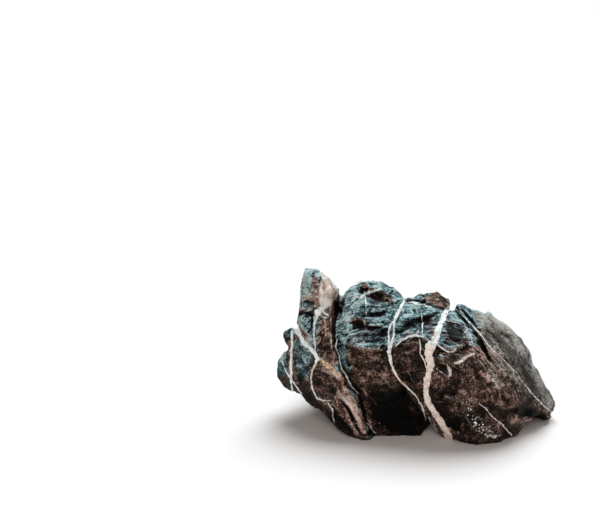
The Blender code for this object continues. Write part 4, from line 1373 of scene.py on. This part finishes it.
    def cracked(self, colour: Node) -> Node:
        """Adds hair cracks: sets of nearly flat joints, each filled with calcite in some places only.

        Args:
            colour: The rock's colour.

        Returns:
            The node that gives the colour with the cracks.
        """
        filled: Node | float = 0.0
        for direction, spacing in self.finish.joints:
            bend, where = (
                self.add(NOISE, {"Vector": self.place, "Scale": 1 / size, "Detail": detail, "Roughness": 0.6})
                for size, detail in ((spacing, 2.0), (0.8 * spacing, 1.0))
            )
            along = self.add(VECTOR, {0: self.place, 1: direction}, operation="DOT_PRODUCT")
            rank = self.add(MATH, {0: along.outputs["Value"], 1: 1.0 / spacing}, operation="MULTIPLY")
            away = self.add(MATH, {0: self.sum(rank, (bend, 0.4)), 1: 0.5}, operation="PINGPONG")
            thin = self.finish.crack_width / spacing
            line = self.add(RANGE, {"Value": away, "From Min": 0.3 * thin, "From Max": thin, "To Min": 1.0,
                                    "To Max": 0.0})
            some = self.add(RANGE, {"Value": where, "From Min": 0.55, "From Max": 0.64})
            part = self.add(MATH, {0: line, 1: some}, operation="MULTIPLY")
            filled = self.add(MATH, {0: filled, 1: part}, operation="MAXIMUM")
        faint = self.add(MATH, {0: filled, 1: self.finish.crack_shows}, operation="MULTIPLY")
        white = linear(self.finish.calcite[1])
        return self.add(MIX, {"Factor": faint, "A": colour, "B": white}, data_type="RGBA")

    def calcite(self, families: int) -> Node:
        """Finds where calcite is: the veins, which swell and have ragged edges, the crusts with the painted
        highlights on some rims, and the grains.

        Args:
            families: How many families of veins the mesh holds.

        Returns:
            The node that gives it, from 0 to 1.
        """
        girth = self.add(RANGE, {"Value": self.swell, "From Min": 0.3, "From Max": 0.7, "To Min": 0.68,
                                 "To Max": 1.3})
        inside: Node | float = -5.0
        for index in range(families):
            distance = self.add(MATH, {0: self.value[f"vein_{index}_off"]}, operation="ABSOLUTE")
            wide = self.add(MATH, {0: self.value[f"vein_{index}_half"], 1: girth}, operation="MULTIPLY")
            margin = self.add(MATH, {0: wide, 1: distance}, operation="SUBTRACT")
            inside = self.add(MATH, {0: inside, 1: margin}, operation="MAXIMUM")
        torn = self.sum(inside, (self.edge, 2.2))
        vein = self.add(RANGE, {"Value": torn, "From Min": 0.92, "From Max": 1.22})
        # Pale crusts, and painted highlights on some rims.
        crust_and_highlight_level = self.sum(self.edge, (self.speck, 0.7), (self.value["crust_and_highlight"], 0.8))
        crust_and_highlight = self.add(RANGE, {"Value": crust_and_highlight_level, "From Min": 1.32, "From Max": 1.52, "To Max": 0.9})
        veins_crusts_and_highlights = self.add(MATH, {0: vein, 1: crust_and_highlight}, operation="MAXIMUM")
        return self.add(MATH, {0: veins_crusts_and_highlights, 1: self.grains()}, operation="MAXIMUM")

    def grains(self) -> Node:
        """Adds small grains of calcite, of all sizes; the more there is of them, the larger they are.

        Returns:
            The node that gives where they are, from 0 to 1.
        """
        stray, scale = (self.finish.stray,) * 3, 1.0 / self.finish.gap
        colour = self.mottle.outputs["Color"]
        bent = self.add(VECTOR, {0: colour, 1: stray, 2: self.place}, operation="MULTIPLY_ADD")
        cell = self.add("ShaderNodeTexVoronoi", {"Vector": bent, "Scale": scale}, feature="F1")
        size = self.add(MATH, {0: cell.outputs["Color"], 1: self.value["specks"]}, operation="MULTIPLY")
        reach = self.add(MATH, {0: size, 1: 0.62}, operation="MULTIPLY")
        inside = self.add(MATH, {0: reach, 1: cell}, operation="SUBTRACT")
        return self.add(RANGE, {"Value": inside, "From Max": 0.08})

    def veined(self, colour: Node, mask: Node) -> Node:
        """Lays the calcite over the rock.

        Args:
            colour: The rock's colour.
            mask: Where the calcite is.

        Returns:
            The node that gives the colour.
        """
        grain = self.sum(self.mottle, (self.speck, 0.5))
        tone = self.add(RANGE, {"Value": grain, "From Min": 0.52, "From Max": 0.98})
        clean, stained = self.shades(tone, self.finish.calcite), self.shades(tone, self.finish.iron)
        warm = self.ragged(self.value["warm"])
        calcite = self.add(MIX, {"Factor": warm, "A": clean, "B": stained}, data_type="RGBA")
        return self.add(MIX, {"Factor": mask, "A": colour, "B": calcite}, data_type="RGBA")


@dataclass(frozen=True)
class Stone:
    """The stone itself, one piece.

    Args:
        carving: Its drawn forms.
        relief: Its weathered relief.
        veins: Its calcite.
        stains_and_shading: What it is stained with, and the light and shade painted on it.
        finish: Its rock.
    """

    carving: Carving = Carving()
    relief: Relief = Relief()
    veins: Veins = Veins()
    stains_and_shading: StainsAndShading = StainsAndShading()
    finish: Limestone = Limestone()

    def within(self, skin: Skin) -> None:
        """Keeps the worn skin inside the solid's box."""
        low, high = (np.array(corner) / MM for corner in CAD_BOX)
        skin.move(np.clip(skin.places, low, high))

    def build(self) -> Object:
        """Makes the piece that stands for the CAD node.

        Returns:
            The piece.
        """
        mesh = self.carving.fine_skin(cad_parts[NODE])
        self.carving.mark(Skin(mesh))
        material = self.finish.material(len(self.veins.families()))
        mesh = self.relief.work(mesh, material)
        self.within(Skin(mesh))
        skin = Skin(mesh)
        flats = self.carving.drawn(skin)
        self.veins.paint(skin, flats)
        self.stains_and_shading.paint(skin, flats)
        mesh.shade_smooth()
        piece = new_object("seiryu_stone", mesh)
        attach(piece, "root")
        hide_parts(NODE)
        return piece


@dataclass(frozen=True)
class Lamp:
    """A broad light.

    Args:
        name: Its name.
        strength: Its strength, in watts per square metre.
        spread: How wide it looks from the stone, in degrees; it sets how soft the shadows are.
        tilt: How far it is from overhead, in degrees.
        turn: Which way it is tilted: 0 is towards the camera's side, 180 behind the stone, in degrees.
        colour: Its colour.
    """

    name: str
    strength: float
    spread: float
    tilt: float
    turn: float
    colour: str

    def hang(self) -> None:
        """Hangs it over the set."""
        light = bpy.data.lights.new(self.name, "SUN")
        light.energy = self.strength
        light.angle = math.radians(self.spread)
        light.color = linear(self.colour)[:3]
        holder = new_object(self.name, light)
        holder.rotation_euler = (math.radians(self.tilt), 0.0, math.radians(self.turn))


@dataclass(frozen=True)
class Studio:
    """A plain pale floor, soft light from above and behind, a weak warm fill in front, and the camera.

    Args:
        floor_colour: The floor's colour.
        floor_side: How long the floor's sides are, in metres.
        floor_roughness: How matt it is.
        lens: The camera's lens.
        near: How near the camera sees, in metres.
        lamps: The lights.
        sky: How strongly the pale room round the set lights it; it is seen brighter than that.
    """

    floor_colour: str = "#e3e1df"
    floor_side: float = 40.0
    floor_roughness: float = 0.9
    lens: float = 50.0
    near: float = 0.01
    lamps: tuple[Lamp, ...] = (
        Lamp("key", strength=3.9, spread=48.0, tilt=28.0, turn=165.0, colour="#f6fbff"),
        Lamp("fill", strength=1.05, spread=50.0, tilt=60.0, turn=0.0, colour="#fff0e6"),
    )
    sky: float = 0.2

    def floor(self) -> None:
        """Lays the floor."""
        half = self.floor_side / 2.0
        mesh = bpy.data.meshes.new("floor")
        corners = [(x * half, y * half, 0.0) for x, y in ((-1, -1), (1, -1), (1, 1), (-1, 1))]
        mesh.from_pydata(corners, [], [range(len(corners))])
        material = bpy.data.materials.new("floor")
        material.use_nodes = True
        surface = material.node_tree.nodes["Principled BSDF"]
        surface.inputs["Base Color"].default_value = linear(self.floor_colour)
        surface.inputs["Roughness"].default_value = self.floor_roughness
        mesh.materials.append(material)
        new_object("floor", mesh)

    def room(self) -> None:
        """Puts a pale room round the set, which is seen brighter than it lights."""
        world = bpy.data.worlds.new("studio")
        world.use_nodes = True
        room = Nodes(world.node_tree)
        seen = room.add("ShaderNodeLightPath").outputs["Is Camera Ray"]
        strength = room.add(RANGE, {"Value": seen, "To Min": self.sky, "To Max": 1.0})
        background = room.tree.nodes["Background"]
        background.inputs["Color"].default_value = linear("#ffffff")
        room.tree.links.new(strength.outputs["Result"], background.inputs["Strength"])
        bpy.context.scene.world = world
        bpy.context.scene.view_settings.view_transform = "Standard"

    def camera(self) -> None:
        """Stands the camera where the front sheet is drawn from."""
        camera = bpy.data.cameras.new("camera")
        camera.lens = self.lens
        camera.clip_start = self.near
        holder = new_object("camera", camera)
        holder.location = Vector(FRONT.eye) * MM
        holder.rotation_euler = (math.radians(90.0 - FRONT.dip), 0.0, math.radians(FRONT.turn))
        bpy.context.scene.camera = holder

    def build(self) -> None:
        """Sets it all up."""
        self.floor()
        for lamp in self.lamps:
            lamp.hang()
        self.room()
        self.camera()


def main() -> None:
    """Builds the stone and the studio round it."""
    logging.basicConfig(level=logging.INFO, format="%(name)s: %(message)s")
    stone = Stone().build()
    LOG.info("%s has %d corners and %d faces", stone.name, len(stone.data.vertices), len(stone.data.polygons))
    Studio().build()


if __name__ == "__main__":
    main()
